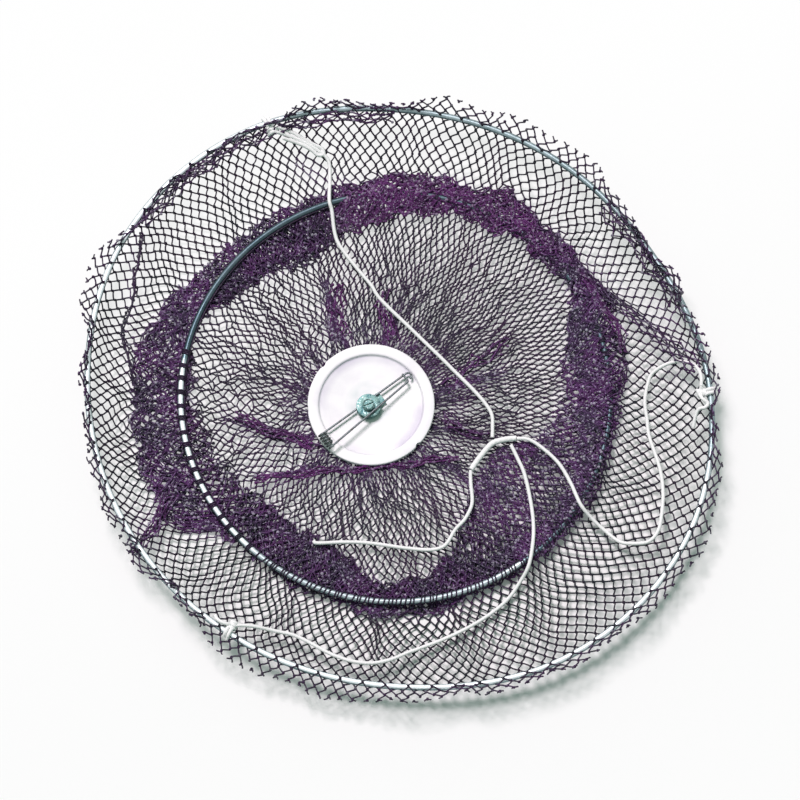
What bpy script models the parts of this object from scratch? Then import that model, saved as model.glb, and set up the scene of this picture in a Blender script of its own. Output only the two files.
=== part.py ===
"""A shrimp drop net lying collapsed on a flat surface: a large wire hoop and a small one,
the netting between and inside them, a bait dish with its clip, and a three-legged bridle
of braided cord. Metres, +Z up, origin on the surface below the centre of the large hoop."""

from math import cos, pi, radians, sin

import bmesh
import bpy
import numpy as np
from mathutils import Matrix, Vector

# Seats: solids that touch on the real net stand this far apart here.
GAP = 0.0003

# Lower hoop: a ring of round galvanised wire, lying on the slack of the net.
HOOP_WIRE = 0.003
LOWER_RADIUS = 0.103
LOWER_CENTRE = Vector((-0.0015, -0.0001))

# Upper hoop: the same wire in a ring that use has bent, held up by the springy slack. The bends
# say how far it stands out of a true circle, every 30 degrees from +X.
UPPER_RADIUS = 0.148
UPPER_BENDS = [
    -0.0005, -0.0100, -0.0100, -0.0065, 0.0025, 0.0055,
    0.0025, 0.0005, -0.0005, 0.0010, 0.0075, 0.0075,
]
UPPER_CENTRE = Vector((0.0015, 0.0017))
UPPER_HEIGHT = 0.012
HOOP_STEPS = 72

# Slack: the lower wall of the net, folded into a flat roll around and under the lower hoop.
SLACK_CROWN = 0.0036
SLACK_EDGE = 0.0012
SLACK_RIPPLE = 0.0003
SLACK_RIPPLES = 21
SLACK_PLEAT = 0.0008
SLACK_STEPS = 96
# How far the roll reaches inside and outside the lower hoop, every 15 degrees from +X.
SLACK_INSIDE = [
    0.025, 0.023, 0.008, 0.004, 0.006, 0.009, 0.012, 0.018, 0.023, 0.020, 0.006, 0.004,
    0.005, 0.007, 0.011, 0.015, 0.017, 0.019, 0.011, 0.018, 0.041, 0.051, 0.050, 0.036,
]
SLACK_OUTSIDE = [
    0.009, 0.010, 0.007, 0.011, 0.014, 0.014, 0.010, 0.009, 0.009, 0.011, 0.014, 0.024,
    0.024, 0.025, 0.024, 0.004, 0.004, 0.004, 0.007, 0.007, 0.006, 0.005, 0.005, 0.006,
]

# Netting: flat strands knotted into diamonds, coarser than the real twine.
STRAND_THICKNESS = 0.0008
KNOT_REACH = 0.0012
WALL_MESHES = 41
WALL_ROWS = 3
WALL_PHASE = radians(0.09)
FLOOR_MESHES = 28
FLOOR_ROWS = 4

# Hub: a screw through the bait dish, with a nut and a backing disc under the net.
HUB_CENTRE = Vector((-0.0144, -0.0056))
SCREW_RADIUS = 0.0015
SCREW_HEAD_RADIUS = 0.0029
SCREW_HEAD_HEIGHT = 0.0016
SLOT_WIDTH = 0.0007
SLOT_DEPTH = 0.0007
NUT_ACROSS_FLATS = 0.0055
NUT_HEIGHT = 0.0016
BACKING_RADIUS = 0.020
BACKING_THICKNESS = 0.0008
WASHER_RADIUS = 0.0059
WASHER_THICKNESS = 0.0006

# Bait dish: white plastic, a shallow recess inside a raised rim.
DISH_CENTRE = Vector((-0.0132, -0.0042))
DISH_RADIUS = 0.0305
DISH_RIM_WIDTH = 0.0052
DISH_FLOOR = 0.0012
DISH_RIM_HEIGHT = 0.0025
DISH_ROUNDING = 0.0006

# Bait clip: one spring wire, coiled at one end and hooked at the other, over a small plate.
CLIP_DIRECTION = radians(37.2)
CLIP_WIRE = 0.001
CLIP_PLATE_FRONT = 0.0083
CLIP_PLATE_BACK = 0.004
CLIP_PLATE_WIDTH = 0.0064
CLIP_PLATE_THICKNESS = 0.0005
CLIP_TIP = 0.0243
CLIP_HOOK_RADIUS = 0.0016
COIL_BACK = 0.0265
COIL_RADIUS = 0.0017
COIL_TURNS = 4.5
COIL_PITCH = 0.0016
COIL_POINTS = 10
ARM_BAR_ALONG = 0.0225
ARM_BAR_START = 0.0019

# Cords: white braid, lying on the netting.
CORD = 0.0018
JOIN = 0.0028
KNOT_RADIUS = 0.0024
CORD_STEP = 0.006
ANGLE_STEP = 0.01
KNOT_ANGLES = {"a": radians(115.6), "b": radians(-0.8), "c": radians(235.9)}

# Routes of the cords over the netting, from their knots on the upper hoop to the join.
BRIDLE_A = [
    (-0.0589, 0.1317, 0.0128), (-0.0507, 0.1298, 0.0102), (-0.0387, 0.1241, 0.0069),
    (-0.0339, 0.1195, 0.0052), (-0.0332, 0.1118, 0.0049), (-0.0334, 0.0983, 0.0093),
    (-0.0322, 0.0930, 0.0085), (-0.0307, 0.0820, 0.0064), (-0.0278, 0.0751, 0.0060),
    (-0.0204, 0.0651, 0.0055), (-0.0132, 0.0562, 0.0051), (-0.0087, 0.0492, 0.0048),
    (0.0055, 0.0348, 0.0043), (0.0199, 0.0202, 0.0042), (0.0271, 0.0126, 0.0043),
    (0.0362, 0.0030, 0.0046), (0.0420, -0.0042, 0.0049), (0.0448, -0.0098, 0.0050),
    (0.0450, -0.0163, 0.0050), (0.0449, -0.0207, 0.0050),
]
BRIDLE_B = [
    (0.1449, 0.0022, 0.0139), (0.1450, 0.0064, 0.0137), (0.1439, 0.0104, 0.0133),
    (0.1412, 0.0136, 0.0122), (0.1351, 0.0160, 0.0100), (0.1284, 0.0154, 0.0072),
    (0.1216, 0.0114, 0.0048), (0.1191, 0.0045, 0.0041), (0.1181, -0.0030, 0.0041),
    (0.1191, -0.0116, 0.0041), (0.1200, -0.0198, 0.0046), (0.1236, -0.0318, 0.0060),
    (0.1255, -0.0397, 0.0070), (0.1264, -0.0496, 0.0079), (0.1255, -0.0615, 0.0089),
    (0.1236, -0.0693, 0.0092), (0.1191, -0.0742, 0.0090), (0.1116, -0.0747, 0.0075),
    (0.1053, -0.0732, 0.0061), (0.0988, -0.0677, 0.0048), (0.0924, -0.0618, 0.0061),
    (0.0869, -0.0556, 0.0092), (0.0823, -0.0445, 0.0075), (0.0768, -0.0345, 0.0066),
    (0.0693, -0.0268, 0.0062), (0.0625, -0.0221, 0.0059), (0.0567, -0.0214, 0.0056),
]
BRIDLE_C = [
    (-0.0760, -0.1169, 0.0129), (-0.0689, -0.1171, 0.0116), (-0.0588, -0.1186, 0.0088),
    (-0.0497, -0.1205, 0.0079), (-0.0411, -0.1249, 0.0083), (-0.0324, -0.1300, 0.0091),
    (-0.0225, -0.1337, 0.0095), (-0.0128, -0.1347, 0.0093), (-0.0038, -0.1326, 0.0082),
    (0.0050, -0.1285, 0.0066), (0.0199, -0.1222, 0.0049), (0.0319, -0.1162, 0.0041),
    (0.0429, -0.1092, 0.0036), (0.0520, -0.1012, 0.0033), (0.0583, -0.0925, 0.0053),
    (0.0621, -0.0857, 0.0086), (0.0640, -0.0751, 0.0089), (0.0644, -0.0649, 0.0069),
    (0.0631, -0.0531, 0.0064), (0.0602, -0.0394, 0.0060), (0.0566, -0.0307, 0.0057),
    (0.0538, -0.0247, 0.0055),
]
BRIDLE_JOIN = [
    (0.0563, -0.0214, 0.0060), (0.0511, -0.0220, 0.0059), (0.0448, -0.0240, 0.0056),
    (0.0391, -0.0305, 0.0054), (0.0347, -0.0370, 0.0054),
]
HAUL_TAIL = [
    (0.0345, -0.0374, 0.0049), (0.0344, -0.0403, 0.0050), (0.0346, -0.0447, 0.0052),
    (0.0351, -0.0539, 0.0054), (0.0319, -0.0615, 0.0056), (0.0271, -0.0671, 0.0056),
    (0.0232, -0.0738, 0.0058), (0.0199, -0.0763, 0.0058), (0.0141, -0.0773, 0.0058),
    (0.0031, -0.0763, 0.0056), (-0.0142, -0.0737, 0.0053), (-0.0262, -0.0733, 0.0054),
    (-0.0387, -0.0738, 0.0055), (-0.0406, -0.0726, 0.0055),
]

# Heights of the hub's stack, from the surface up.
NUT_TOP = NUT_HEIGHT
BACKING_TOP = NUT_TOP + GAP + BACKING_THICKNESS
DISH_BOTTOM = BACKING_TOP + GAP
DISH_RECESS = DISH_BOTTOM + DISH_FLOOR
LOWER_WASHER_TOP = DISH_RECESS + GAP + WASHER_THICKNESS
PLATE_BOTTOM = LOWER_WASHER_TOP + GAP
PLATE_TOP = PLATE_BOTTOM + CLIP_PLATE_THICKNESS
CLIP_HEIGHT = PLATE_TOP + GAP + CLIP_WIRE / 2
UPPER_WASHER_TOP = CLIP_HEIGHT + CLIP_WIRE / 2 + GAP + WASHER_THICKNESS
HEAD_BOTTOM = UPPER_WASHER_TOP + GAP
BORE_RADIUS = SCREW_RADIUS + GAP

# Heights of the netting and of the hoop that it hangs from.
LOWER_HEIGHT = SLACK_CROWN + GAP + HOOP_WIRE / 2
FLOOR_INNER_HEIGHT = DISH_BOTTOM - GAP - STRAND_THICKNESS
FLOOR_OUTER_HEIGHT = LOWER_HEIGHT - STRAND_THICKNESS / 2
WALL_INNER_HEIGHT = SLACK_EDGE
WALL_OUTER_HEIGHT = UPPER_HEIGHT - STRAND_THICKNESS


def clear_scene():
    for item in list(bpy.data.objects):
        bpy.data.objects.remove(item, do_unlink=True)


def material(name, colour, roughness, metallic=0.0):
    found = bpy.data.materials.get(name)
    if found:
        return found
    made = bpy.data.materials.new(name)
    made.use_nodes = True
    shader = made.node_tree.nodes["Principled BSDF"]
    shader.inputs["Base Color"].default_value = (*colour, 1)
    shader.inputs["Roughness"].default_value = roughness
    shader.inputs["Metallic"].default_value = metallic
    return made


def galvanised():
    return material("galvanised_wire", (0.45, 0.52, 0.53), 0.38, 0.9)


def zinc():
    return material("zinc_plate", (0.32, 0.42, 0.41), 0.45, 0.85)


def spring_steel():
    return material("spring_steel", (0.20, 0.22, 0.23), 0.35, 0.95)


def white_plastic():
    return material("white_plastic", (0.90, 0.89, 0.92), 0.35)


def netting():
    return material("netting", (0.10, 0.03, 0.10), 0.6)


def braid():
    return material("white_braid", (0.93, 0.93, 0.91), 0.75)


def add(name, mesh_or_curve, finish):
    item = bpy.data.objects.new(name, mesh_or_curve)
    mesh_or_curve.materials.append(finish)
    bpy.context.scene.collection.objects.link(item)
    return item


def add_bmesh(name, shape, finish, smooth_angle=None):
    bmesh.ops.recalc_face_normals(shape, faces=shape.faces)
    mesh = bpy.data.meshes.new(name)
    shape.to_mesh(mesh)
    shape.free()
    if smooth_angle is not None:
        mesh.shade_smooth()
        mesh.set_sharp_from_angle(angle=smooth_angle)
    return add(name, mesh, finish)


def turned(name, profile, centre, finish, steps=48):
    """A solid turned about a vertical axis from (radius, height) points; a profile that starts
    and ends on the axis closes there, and any other is a closed loop, which makes a ring."""
    shape = bmesh.new()
    points = [shape.verts.new((r, 0, z)) for r, z in profile]
    edges = [shape.edges.new(pair) for pair in zip(points, points[1:])]
    if profile[0][0] > 0:
        edges.append(shape.edges.new((points[-1], points[0])))
    bmesh.ops.spin(
        shape, geom=points + edges, cent=(0, 0, 0), axis=(0, 0, 1), angle=2 * pi, steps=steps, use_merge=True
    )
    bmesh.ops.remove_doubles(shape, verts=shape.verts, dist=1e-6)
    item = add_bmesh(name, shape, finish, radians(35))
    item.location = (centre.x, centre.y, 0)
    return item


def cutter(name, item):
    item.name = name
    item.hide_render = True
    item.display_type = "WIRE"
    return item


def boolean(item, other, operation):
    step = item.modifiers.new(other.name, "BOOLEAN")
    step.operation = operation
    step.object = other
    step.solver = "EXACT"


def bore(item, name, centre, radius, bottom, top):
    """Cuts a vertical round hole through a piece."""
    over = 0.001
    hole = turned(
        name, [(0, bottom - over), (radius, bottom - over), (radius, top + over), (0, top + over)], centre, zinc(), 24
    )
    boolean(item, cutter(name, hole), "DIFFERENCE")


def tube(name, points, diameter, finish, resolution=2, cyclic=False):
    """A round wire or cord along its points."""
    curve = bpy.data.curves.new(name, "CURVE")
    curve.dimensions = "3D"
    curve.bevel_depth = diameter / 2
    curve.bevel_resolution = resolution
    curve.use_fill_caps = not cyclic
    spline = curve.splines.new("POLY")
    spline.points.add(len(points) - 1)
    for place, point in zip(spline.points, points):
        place.co = (*point, 1)
    spline.use_cyclic_u = cyclic
    return add(name, curve, finish)


def curve_share(before, start, end, after, t):
    """The Catmull-Rom curve from start to end, at the share t of the way."""
    even = 2 * before - 5 * start + 4 * end - after
    odd = 3 * start - before - 3 * end + after
    return 0.5 * (2 * start + (end - before) * t + even * t**2 + odd * t**3)


def smooth_route(route, step):
    """Points a step apart on the smooth curve through a route's own points."""
    knots = [Vector(p) for p in route]
    knots = [2 * knots[0] - knots[1], *knots, 2 * knots[-1] - knots[-2]]
    fine = []
    for before, start, end, after in zip(knots, knots[1:], knots[2:], knots[3:]):
        for t in np.linspace(0, 1, 12, endpoint=False):
            fine.append(curve_share(before, start, end, after, t))
    fine = np.array([*fine, knots[-2]])
    along = np.concatenate([[0], np.cumsum(np.linalg.norm(np.diff(fine, axis=0), axis=1))])
    places = np.linspace(0, along[-1], round(along[-1] / step) + 1)
    return [Vector([np.interp(s, along, fine[:, k]) for k in range(3)]) for s in places]


def around(stations, angle):
    """A smooth periodic value through stations spaced evenly around a circle (Catmull-Rom)."""
    count = len(stations)
    at = (angle % (2 * pi)) / (2 * pi) * count
    low = int(at)
    t = at - low
    before, start, end, after = (stations[(low + k) % count] for k in (-1, 0, 1, 2))
    return curve_share(before, start, end, after, t)


def upper_point(angle, inward=0.0, height=UPPER_HEIGHT):
    """A point of the upper hoop's wire, or one as far inside it as inward says."""
    r = UPPER_RADIUS + around(UPPER_BENDS, angle) - inward
    return Vector((UPPER_CENTRE.x + r * cos(angle), UPPER_CENTRE.y + r * sin(angle), height))


def hoops():
    turns = [2 * pi * k / HOOP_STEPS for k in range(HOOP_STEPS)]
    lower = [
        Vector((LOWER_CENTRE.x + LOWER_RADIUS * cos(t), LOWER_CENTRE.y + LOWER_RADIUS * sin(t), LOWER_HEIGHT))
        for t in turns
    ]
    tube("lower_hoop", lower, HOOP_WIRE, galvanised(), cyclic=True)
    tube("upper_hoop", [upper_point(t) for t in turns], HOOP_WIRE, galvanised(), cyclic=True)


def slack_inner(angle):
    return LOWER_RADIUS - around(SLACK_INSIDE, angle)


def slack_outer(angle):
    return LOWER_RADIUS + around(SLACK_OUTSIDE, angle)


def slack_net():
    """The folded roll: flat below, lowest at its edges and highest under the lower hoop, with
    round pleats between. Each station says how near it is to the hoop, and whether it lies in
    a fold's valley."""
    outside = [(0, False), (0.4, True), (0.75, False)]
    inside = [(1, False), (0.75, True), (0.5, False), (0.25, True), (0, False)]
    shape = bmesh.new()
    rings = []
    for k in range(SLACK_STEPS):
        angle = 2 * pi * k / SLACK_STEPS
        inner, outer = slack_inner(angle), slack_outer(angle)
        ripple = SLACK_RIPPLE * (0.5 - 0.5 * cos(SLACK_RIPPLES * angle))
        section = [(inner, 0), (outer, 0)]
        for edge, stations in ((outer, outside), (inner, inside)):
            for share, valley in stations:
                rise = share * share * (3 - 2 * share)
                height = SLACK_EDGE + (SLACK_CROWN - SLACK_EDGE - ripple) * rise - SLACK_PLEAT * rise * valley
                section.append((edge + (LOWER_RADIUS - edge) * share, height))
        ring = [
            shape.verts.new((LOWER_CENTRE.x + r * cos(angle), LOWER_CENTRE.y + r * sin(angle), height))
            for r, height in section
        ]
        rings.append(ring)
    for ring, following in zip(rings, rings[1:] + rings[:1]):
        for a in range(len(ring)):
            b = (a + 1) % len(ring)
            shape.faces.new((ring[a], ring[b], following[b], following[a]))
    add_bmesh("slack_net", shape, netting(), radians(30))


def diamond_net(name, meshes, rows, place, phase=0.0):
    """Flat knotted netting. Knots stand in rings, every second ring turned by half a mesh, and a
    strand runs from each knot to the two nearest on the next ring. place gives the point at
    an angle and at a share of the way from the inner ring to the outer one."""
    shape = bmesh.new()
    knots = []
    for row in range(rows + 1):
        ring = []
        for number in range(meshes):
            angle = phase + 2 * pi * (number + 0.5 * (row % 2)) / meshes
            centre = place(angle, row / rows)
            out = place(angle, row / rows + 0.01) - place(angle, row / rows - 0.01)
            out.normalize()
            left = Vector((0, 0, 1)).cross(out).normalized()
            ring.append([shape.verts.new(centre + KNOT_REACH * way) for way in (out, left, -out, -left)])
        knots.append(ring)
    for row, ring in enumerate(knots):
        for number, (out, left, back, right) in enumerate(ring):
            shape.faces.new((out, left, back, right))
            if row < rows:
                ahead = knots[row + 1]
                to_left = ahead[number if row % 2 == 0 else (number + 1) % meshes]
                to_right = ahead[(number - 1) % meshes if row % 2 == 0 else number]
                shape.faces.new((left, out, to_left[3], to_left[2]))
                shape.faces.new((out, right, to_right[2], to_right[1]))
    item = add_bmesh(name, shape, netting())
    skin = item.modifiers.new("thickness", "SOLIDIFY")
    skin.thickness = STRAND_THICKNESS
    skin.offset = 0
    return item


def wall_place(angle, share):
    """A point of the wall: low beside the roll, and rising towards the upper hoop."""
    inner = slack_outer(angle) + GAP + KNOT_REACH
    low = Vector((LOWER_CENTRE.x + inner * cos(angle), LOWER_CENTRE.y + inner * sin(angle), 0))
    high = upper_point(angle, HOOP_WIRE / 2 + GAP + KNOT_REACH, 0)
    point = low.lerp(high, share)
    point.z = WALL_INNER_HEIGHT + (WALL_OUTER_HEIGHT - WALL_INNER_HEIGHT) * max(share, 0) ** 1.6
    return point


def floor_place(angle, share):
    """A point of the floor: clamped flat beside the backing disc, and rising to the lower hoop."""
    inner = BACKING_RADIUS + GAP + KNOT_REACH
    outer = LOWER_RADIUS - HOOP_WIRE / 2 - GAP - KNOT_REACH
    centre = HUB_CENTRE.lerp(LOWER_CENTRE, share)
    r = inner + (outer - inner) * share
    flat = (DISH_RADIUS - inner) / (outer - inner)
    climb = max(share - flat, 0) / (1 - flat)
    height = FLOOR_INNER_HEIGHT + (FLOOR_OUTER_HEIGHT - FLOOR_INNER_HEIGHT) * climb
    return Vector((centre.x + r * cos(angle), centre.y + r * sin(angle), height))


def nets():
    slack_net()
    diamond_net("wall_net", WALL_MESHES, WALL_ROWS, wall_place, WALL_PHASE + pi / WALL_MESHES * (1 - WALL_ROWS % 2))
    diamond_net("floor_net", FLOOR_MESHES, FLOOR_ROWS, floor_place)


def dish():
    rim_inner = DISH_RADIUS - DISH_RIM_WIDTH
    top = DISH_BOTTOM + DISH_RIM_HEIGHT
    soft = DISH_ROUNDING
    profile = [
        (0, DISH_BOTTOM),
        (DISH_RADIUS - soft, DISH_BOTTOM),
        (DISH_RADIUS, DISH_BOTTOM + soft),
        (DISH_RADIUS, top - soft),
        (DISH_RADIUS - soft, top),
        (rim_inner + soft, top),
        (rim_inner, top - soft),
        (rim_inner - soft, DISH_RECESS),
        (0, DISH_RECESS),
    ]
    bait_dish = turned("bait_dish", profile, DISH_CENTRE, white_plastic(), 64)
    bore(bait_dish, "dish_bore", HUB_CENTRE, BORE_RADIUS, DISH_BOTTOM, DISH_RECESS)


def ring_profile(inner, outer, bottom, top):
    return [(inner, bottom), (outer, bottom), (outer, top), (inner, top)]


def hub():
    head_top = HEAD_BOTTOM + SCREW_HEAD_HEIGHT
    dome = SCREW_HEAD_HEIGHT * 0.4
    screw = turned(
        "hub_screw",
        [
            (0, GAP),
            (SCREW_RADIUS, GAP),
            (SCREW_RADIUS, HEAD_BOTTOM),
            (SCREW_HEAD_RADIUS, HEAD_BOTTOM),
            (SCREW_HEAD_RADIUS, head_top - dome),
            (SCREW_HEAD_RADIUS * 0.7, head_top),
            (0, head_top),
        ],
        HUB_CENTRE,
        zinc(),
        24,
    )
    slot = bmesh.new()
    size = Matrix.Diagonal((3 * SCREW_HEAD_RADIUS, SLOT_WIDTH, 2 * SLOT_DEPTH, 1))
    bmesh.ops.create_cube(slot, size=1, matrix=size)
    slot_cutter = cutter("screw_slot", add_bmesh("screw_slot", slot, zinc()))
    slot_cutter.location = (HUB_CENTRE.x, HUB_CENTRE.y, head_top)
    slot_cutter.rotation_euler.z = radians(20)
    boolean(screw, slot_cutter, "DIFFERENCE")

    nut = bmesh.new()
    bmesh.ops.create_cone(
        nut,
        cap_ends=True,
        segments=6,
        radius1=NUT_ACROSS_FLATS / 2 / cos(pi / 6),
        radius2=NUT_ACROSS_FLATS / 2 / cos(pi / 6),
        depth=NUT_HEIGHT,
        matrix=Matrix.Translation((0, 0, NUT_HEIGHT / 2)),
    )
    hub_nut = add_bmesh("hub_nut", nut, zinc())
    hub_nut.location = (HUB_CENTRE.x, HUB_CENTRE.y, 0)
    bore(hub_nut, "nut_bore", HUB_CENTRE, BORE_RADIUS, 0, NUT_HEIGHT)

    backing = ring_profile(BORE_RADIUS, BACKING_RADIUS, NUT_TOP + GAP, BACKING_TOP)
    turned("backing_disc", backing, HUB_CENTRE, white_plastic(), 48)
    lower = ring_profile(BORE_RADIUS, WASHER_RADIUS, DISH_RECESS + GAP, LOWER_WASHER_TOP)
    turned("lower_washer", lower, HUB_CENTRE, zinc(), 32)
    upper = ring_profile(BORE_RADIUS, WASHER_RADIUS, UPPER_WASHER_TOP - WASHER_THICKNESS, UPPER_WASHER_TOP)
    turned("upper_washer", upper, HUB_CENTRE, zinc(), 32)


def clip_point(along, aside, height):
    """A point given along the clip from the hub to its tip, to its right, and above the surface."""
    u = Vector((cos(CLIP_DIRECTION), sin(CLIP_DIRECTION)))
    v = Vector((sin(CLIP_DIRECTION), -cos(CLIP_DIRECTION)))
    flat = HUB_CENTRE + u * along + v * aside
    return Vector((flat.x, flat.y, height))


def coil_points(start_turn, end_turn, first_aside, pitch):
    """Points on a coil whose axis lies across the clip, counted in turns from its lowest point."""
    height = CLIP_HEIGHT + COIL_RADIUS
    count = round((end_turn - start_turn) * COIL_POINTS)
    points = []
    for turn in np.linspace(start_turn, end_turn, count + 1):
        angle = 2 * pi * turn
        along = -COIL_BACK - COIL_RADIUS * sin(angle)
        aside = first_aside + pitch * (turn - start_turn)
        points.append(clip_point(along, aside, height - COIL_RADIUS * cos(angle)))
    return points


def least_gap(points, diameter):
    """The least distance between two stretches of one wire, less its diameter."""
    line = np.array(points)
    apart = np.linalg.norm(line[:, None] - line[None], axis=2)
    steps = np.abs(np.subtract.outer(np.arange(len(line)), np.arange(len(line))))
    return apart[steps >= COIL_POINTS // 2].min() - diameter


def clip():
    aside = -(BORE_RADIUS + CLIP_WIRE / 2)
    coil = coil_points(0, COIL_TURNS, aside, COIL_PITCH)
    hook = []
    for turn in np.linspace(0, pi, 7):
        along = CLIP_TIP + CLIP_HOOK_RADIUS * sin(turn)
        hook.append(clip_point(along, aside + CLIP_HOOK_RADIUS * (1 - cos(turn)), CLIP_HEIGHT))
    tube("clip_wire", hook[::-1] + coil, CLIP_WIRE, spring_steel(), 1)
    print("least gap of the clip's coil to itself:", round(least_gap(coil, CLIP_WIRE) * 1000, 2), "mm")

    arm_aside = aside + COIL_PITCH * COIL_TURNS + CLIP_WIRE + 1.2 * GAP
    root = coil_points(COIL_TURNS - 0.2, COIL_TURNS, arm_aside, 0)
    bar_height = CLIP_HEIGHT + CLIP_WIRE + 1.5 * GAP
    bend = 0.0006
    arm = root + [
        clip_point(ARM_BAR_ALONG - bend, ARM_BAR_START, bar_height),
        clip_point(ARM_BAR_ALONG, ARM_BAR_START - bend, bar_height),
        clip_point(ARM_BAR_ALONG, aside - CLIP_WIRE / 2, bar_height),
    ]
    tube("clip_arm", arm, CLIP_WIRE, spring_steel(), 1)

    plate = bmesh.new()
    length = CLIP_PLATE_FRONT + CLIP_PLATE_BACK
    middle = (CLIP_PLATE_FRONT - CLIP_PLATE_BACK) / 2
    size = Matrix.Diagonal((length, CLIP_PLATE_WIDTH, CLIP_PLATE_THICKNESS, 1))
    bmesh.ops.create_cube(plate, size=1, matrix=size)
    clip_plate = add_bmesh("clip_plate", plate, zinc())
    clip_plate.location = clip_point(middle, 0, PLATE_BOTTOM + CLIP_PLATE_THICKNESS / 2)
    clip_plate.rotation_euler.z = CLIP_DIRECTION
    bore(clip_plate, "plate_bore", HUB_CENTRE, BORE_RADIUS, PLATE_BOTTOM, PLATE_TOP)


def hoop_knot(letter):
    """A loop of cord round the upper hoop, with its knot on the hoop's inner side."""
    angle = KNOT_ANGLES[letter]
    centre = upper_point(angle)
    tangent = (upper_point(angle + ANGLE_STEP) - upper_point(angle - ANGLE_STEP)).normalized()
    inward = tangent.cross(Vector((0, 0, -1))).normalized()
    reach = HOOP_WIRE / 2 + GAP + CORD / 2
    loop = []
    for k in range(16):
        turn = 2 * pi * k / 16
        loop.append(centre + reach * (cos(turn) * inward + sin(turn) * Vector((0, 0, 1))))
    guide = tube(f"loop_guide_{letter}", loop, CORD, braid(), 1, cyclic=True)
    mesh = bpy.data.meshes.new_from_object(guide)
    bpy.data.objects.remove(guide)
    ring = add(f"hoop_knot_{letter}", mesh, braid())

    lump = bmesh.new()
    place = centre + inward * (HOOP_WIRE / 2 + 1.5 * GAP + KNOT_RADIUS)
    bmesh.ops.create_uvsphere(
        lump, u_segments=12, v_segments=7, radius=KNOT_RADIUS, matrix=Matrix.Translation(place)
    )
    knot = cutter(f"knot_lump_{letter}", add_bmesh(f"knot_lump_{letter}", lump, braid(), radians(60)))
    boolean(ring, knot, "UNION")


def cords():
    for letter, route in {"a": BRIDLE_A, "b": BRIDLE_B, "c": BRIDLE_C}.items():
        hoop_knot(letter)
        tube(f"bridle_cord_{letter}", smooth_route(route, CORD_STEP), CORD, braid())
    tube("bridle_join", smooth_route(BRIDLE_JOIN, CORD_STEP), JOIN, braid())
    tube("haul_tail", smooth_route(HAUL_TAIL, CORD_STEP), CORD, braid())


clear_scene()
hoops()
nets()
dish()
hub()
clip()
cords()
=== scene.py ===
"""A shrimp drop net, lying collapsed: two hoops of galvanised wire, knotted netting between and
inside them, a white bait dish with its wire clip, and a bridle of white braided cord."""

import bpy
import numpy as np
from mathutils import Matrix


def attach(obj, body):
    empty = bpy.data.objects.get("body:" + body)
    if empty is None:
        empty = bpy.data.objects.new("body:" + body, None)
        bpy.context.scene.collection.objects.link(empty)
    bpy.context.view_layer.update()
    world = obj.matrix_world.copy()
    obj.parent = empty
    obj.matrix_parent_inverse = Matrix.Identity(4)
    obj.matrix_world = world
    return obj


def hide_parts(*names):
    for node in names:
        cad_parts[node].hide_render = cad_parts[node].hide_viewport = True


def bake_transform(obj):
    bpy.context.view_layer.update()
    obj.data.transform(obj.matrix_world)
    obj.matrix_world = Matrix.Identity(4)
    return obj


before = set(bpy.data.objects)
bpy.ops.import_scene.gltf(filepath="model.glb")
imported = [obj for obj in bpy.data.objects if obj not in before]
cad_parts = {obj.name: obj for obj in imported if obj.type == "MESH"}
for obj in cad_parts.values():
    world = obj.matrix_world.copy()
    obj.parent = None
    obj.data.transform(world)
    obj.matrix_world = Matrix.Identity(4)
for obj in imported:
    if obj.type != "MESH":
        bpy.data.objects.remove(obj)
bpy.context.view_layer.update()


# The photographer's view: from steeply above, across the net's front edge. The real camera was
# near; this one stands far off with a long lens, so that a millimetre is the same size everywhere.
VIEW_AIM = np.array([0.00068, -0.00022, 0.0])
VIEW_ELEVATION = np.radians(72)
VIEW_DISTANCE = 5.0
VIEW_WIDTH = 0.384
SENSOR = 36.0

camera_data = bpy.data.cameras.new("photo_view")
camera_data.sensor_width = SENSOR
camera_data.lens = SENSOR * VIEW_DISTANCE / VIEW_WIDTH
camera_data.clip_end = 2 * VIEW_DISTANCE
camera = bpy.data.objects.new("photo_view", camera_data)
towards_camera = np.array([0, -np.cos(VIEW_ELEVATION), np.sin(VIEW_ELEVATION)])
camera.location = VIEW_AIM + VIEW_DISTANCE * towards_camera
camera.rotation_euler = (np.pi / 2 - VIEW_ELEVATION, 0, 0)
bpy.context.scene.collection.objects.link(camera)
bpy.context.scene.camera = camera
bpy.context.scene.view_settings.view_transform = "Standard"


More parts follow.
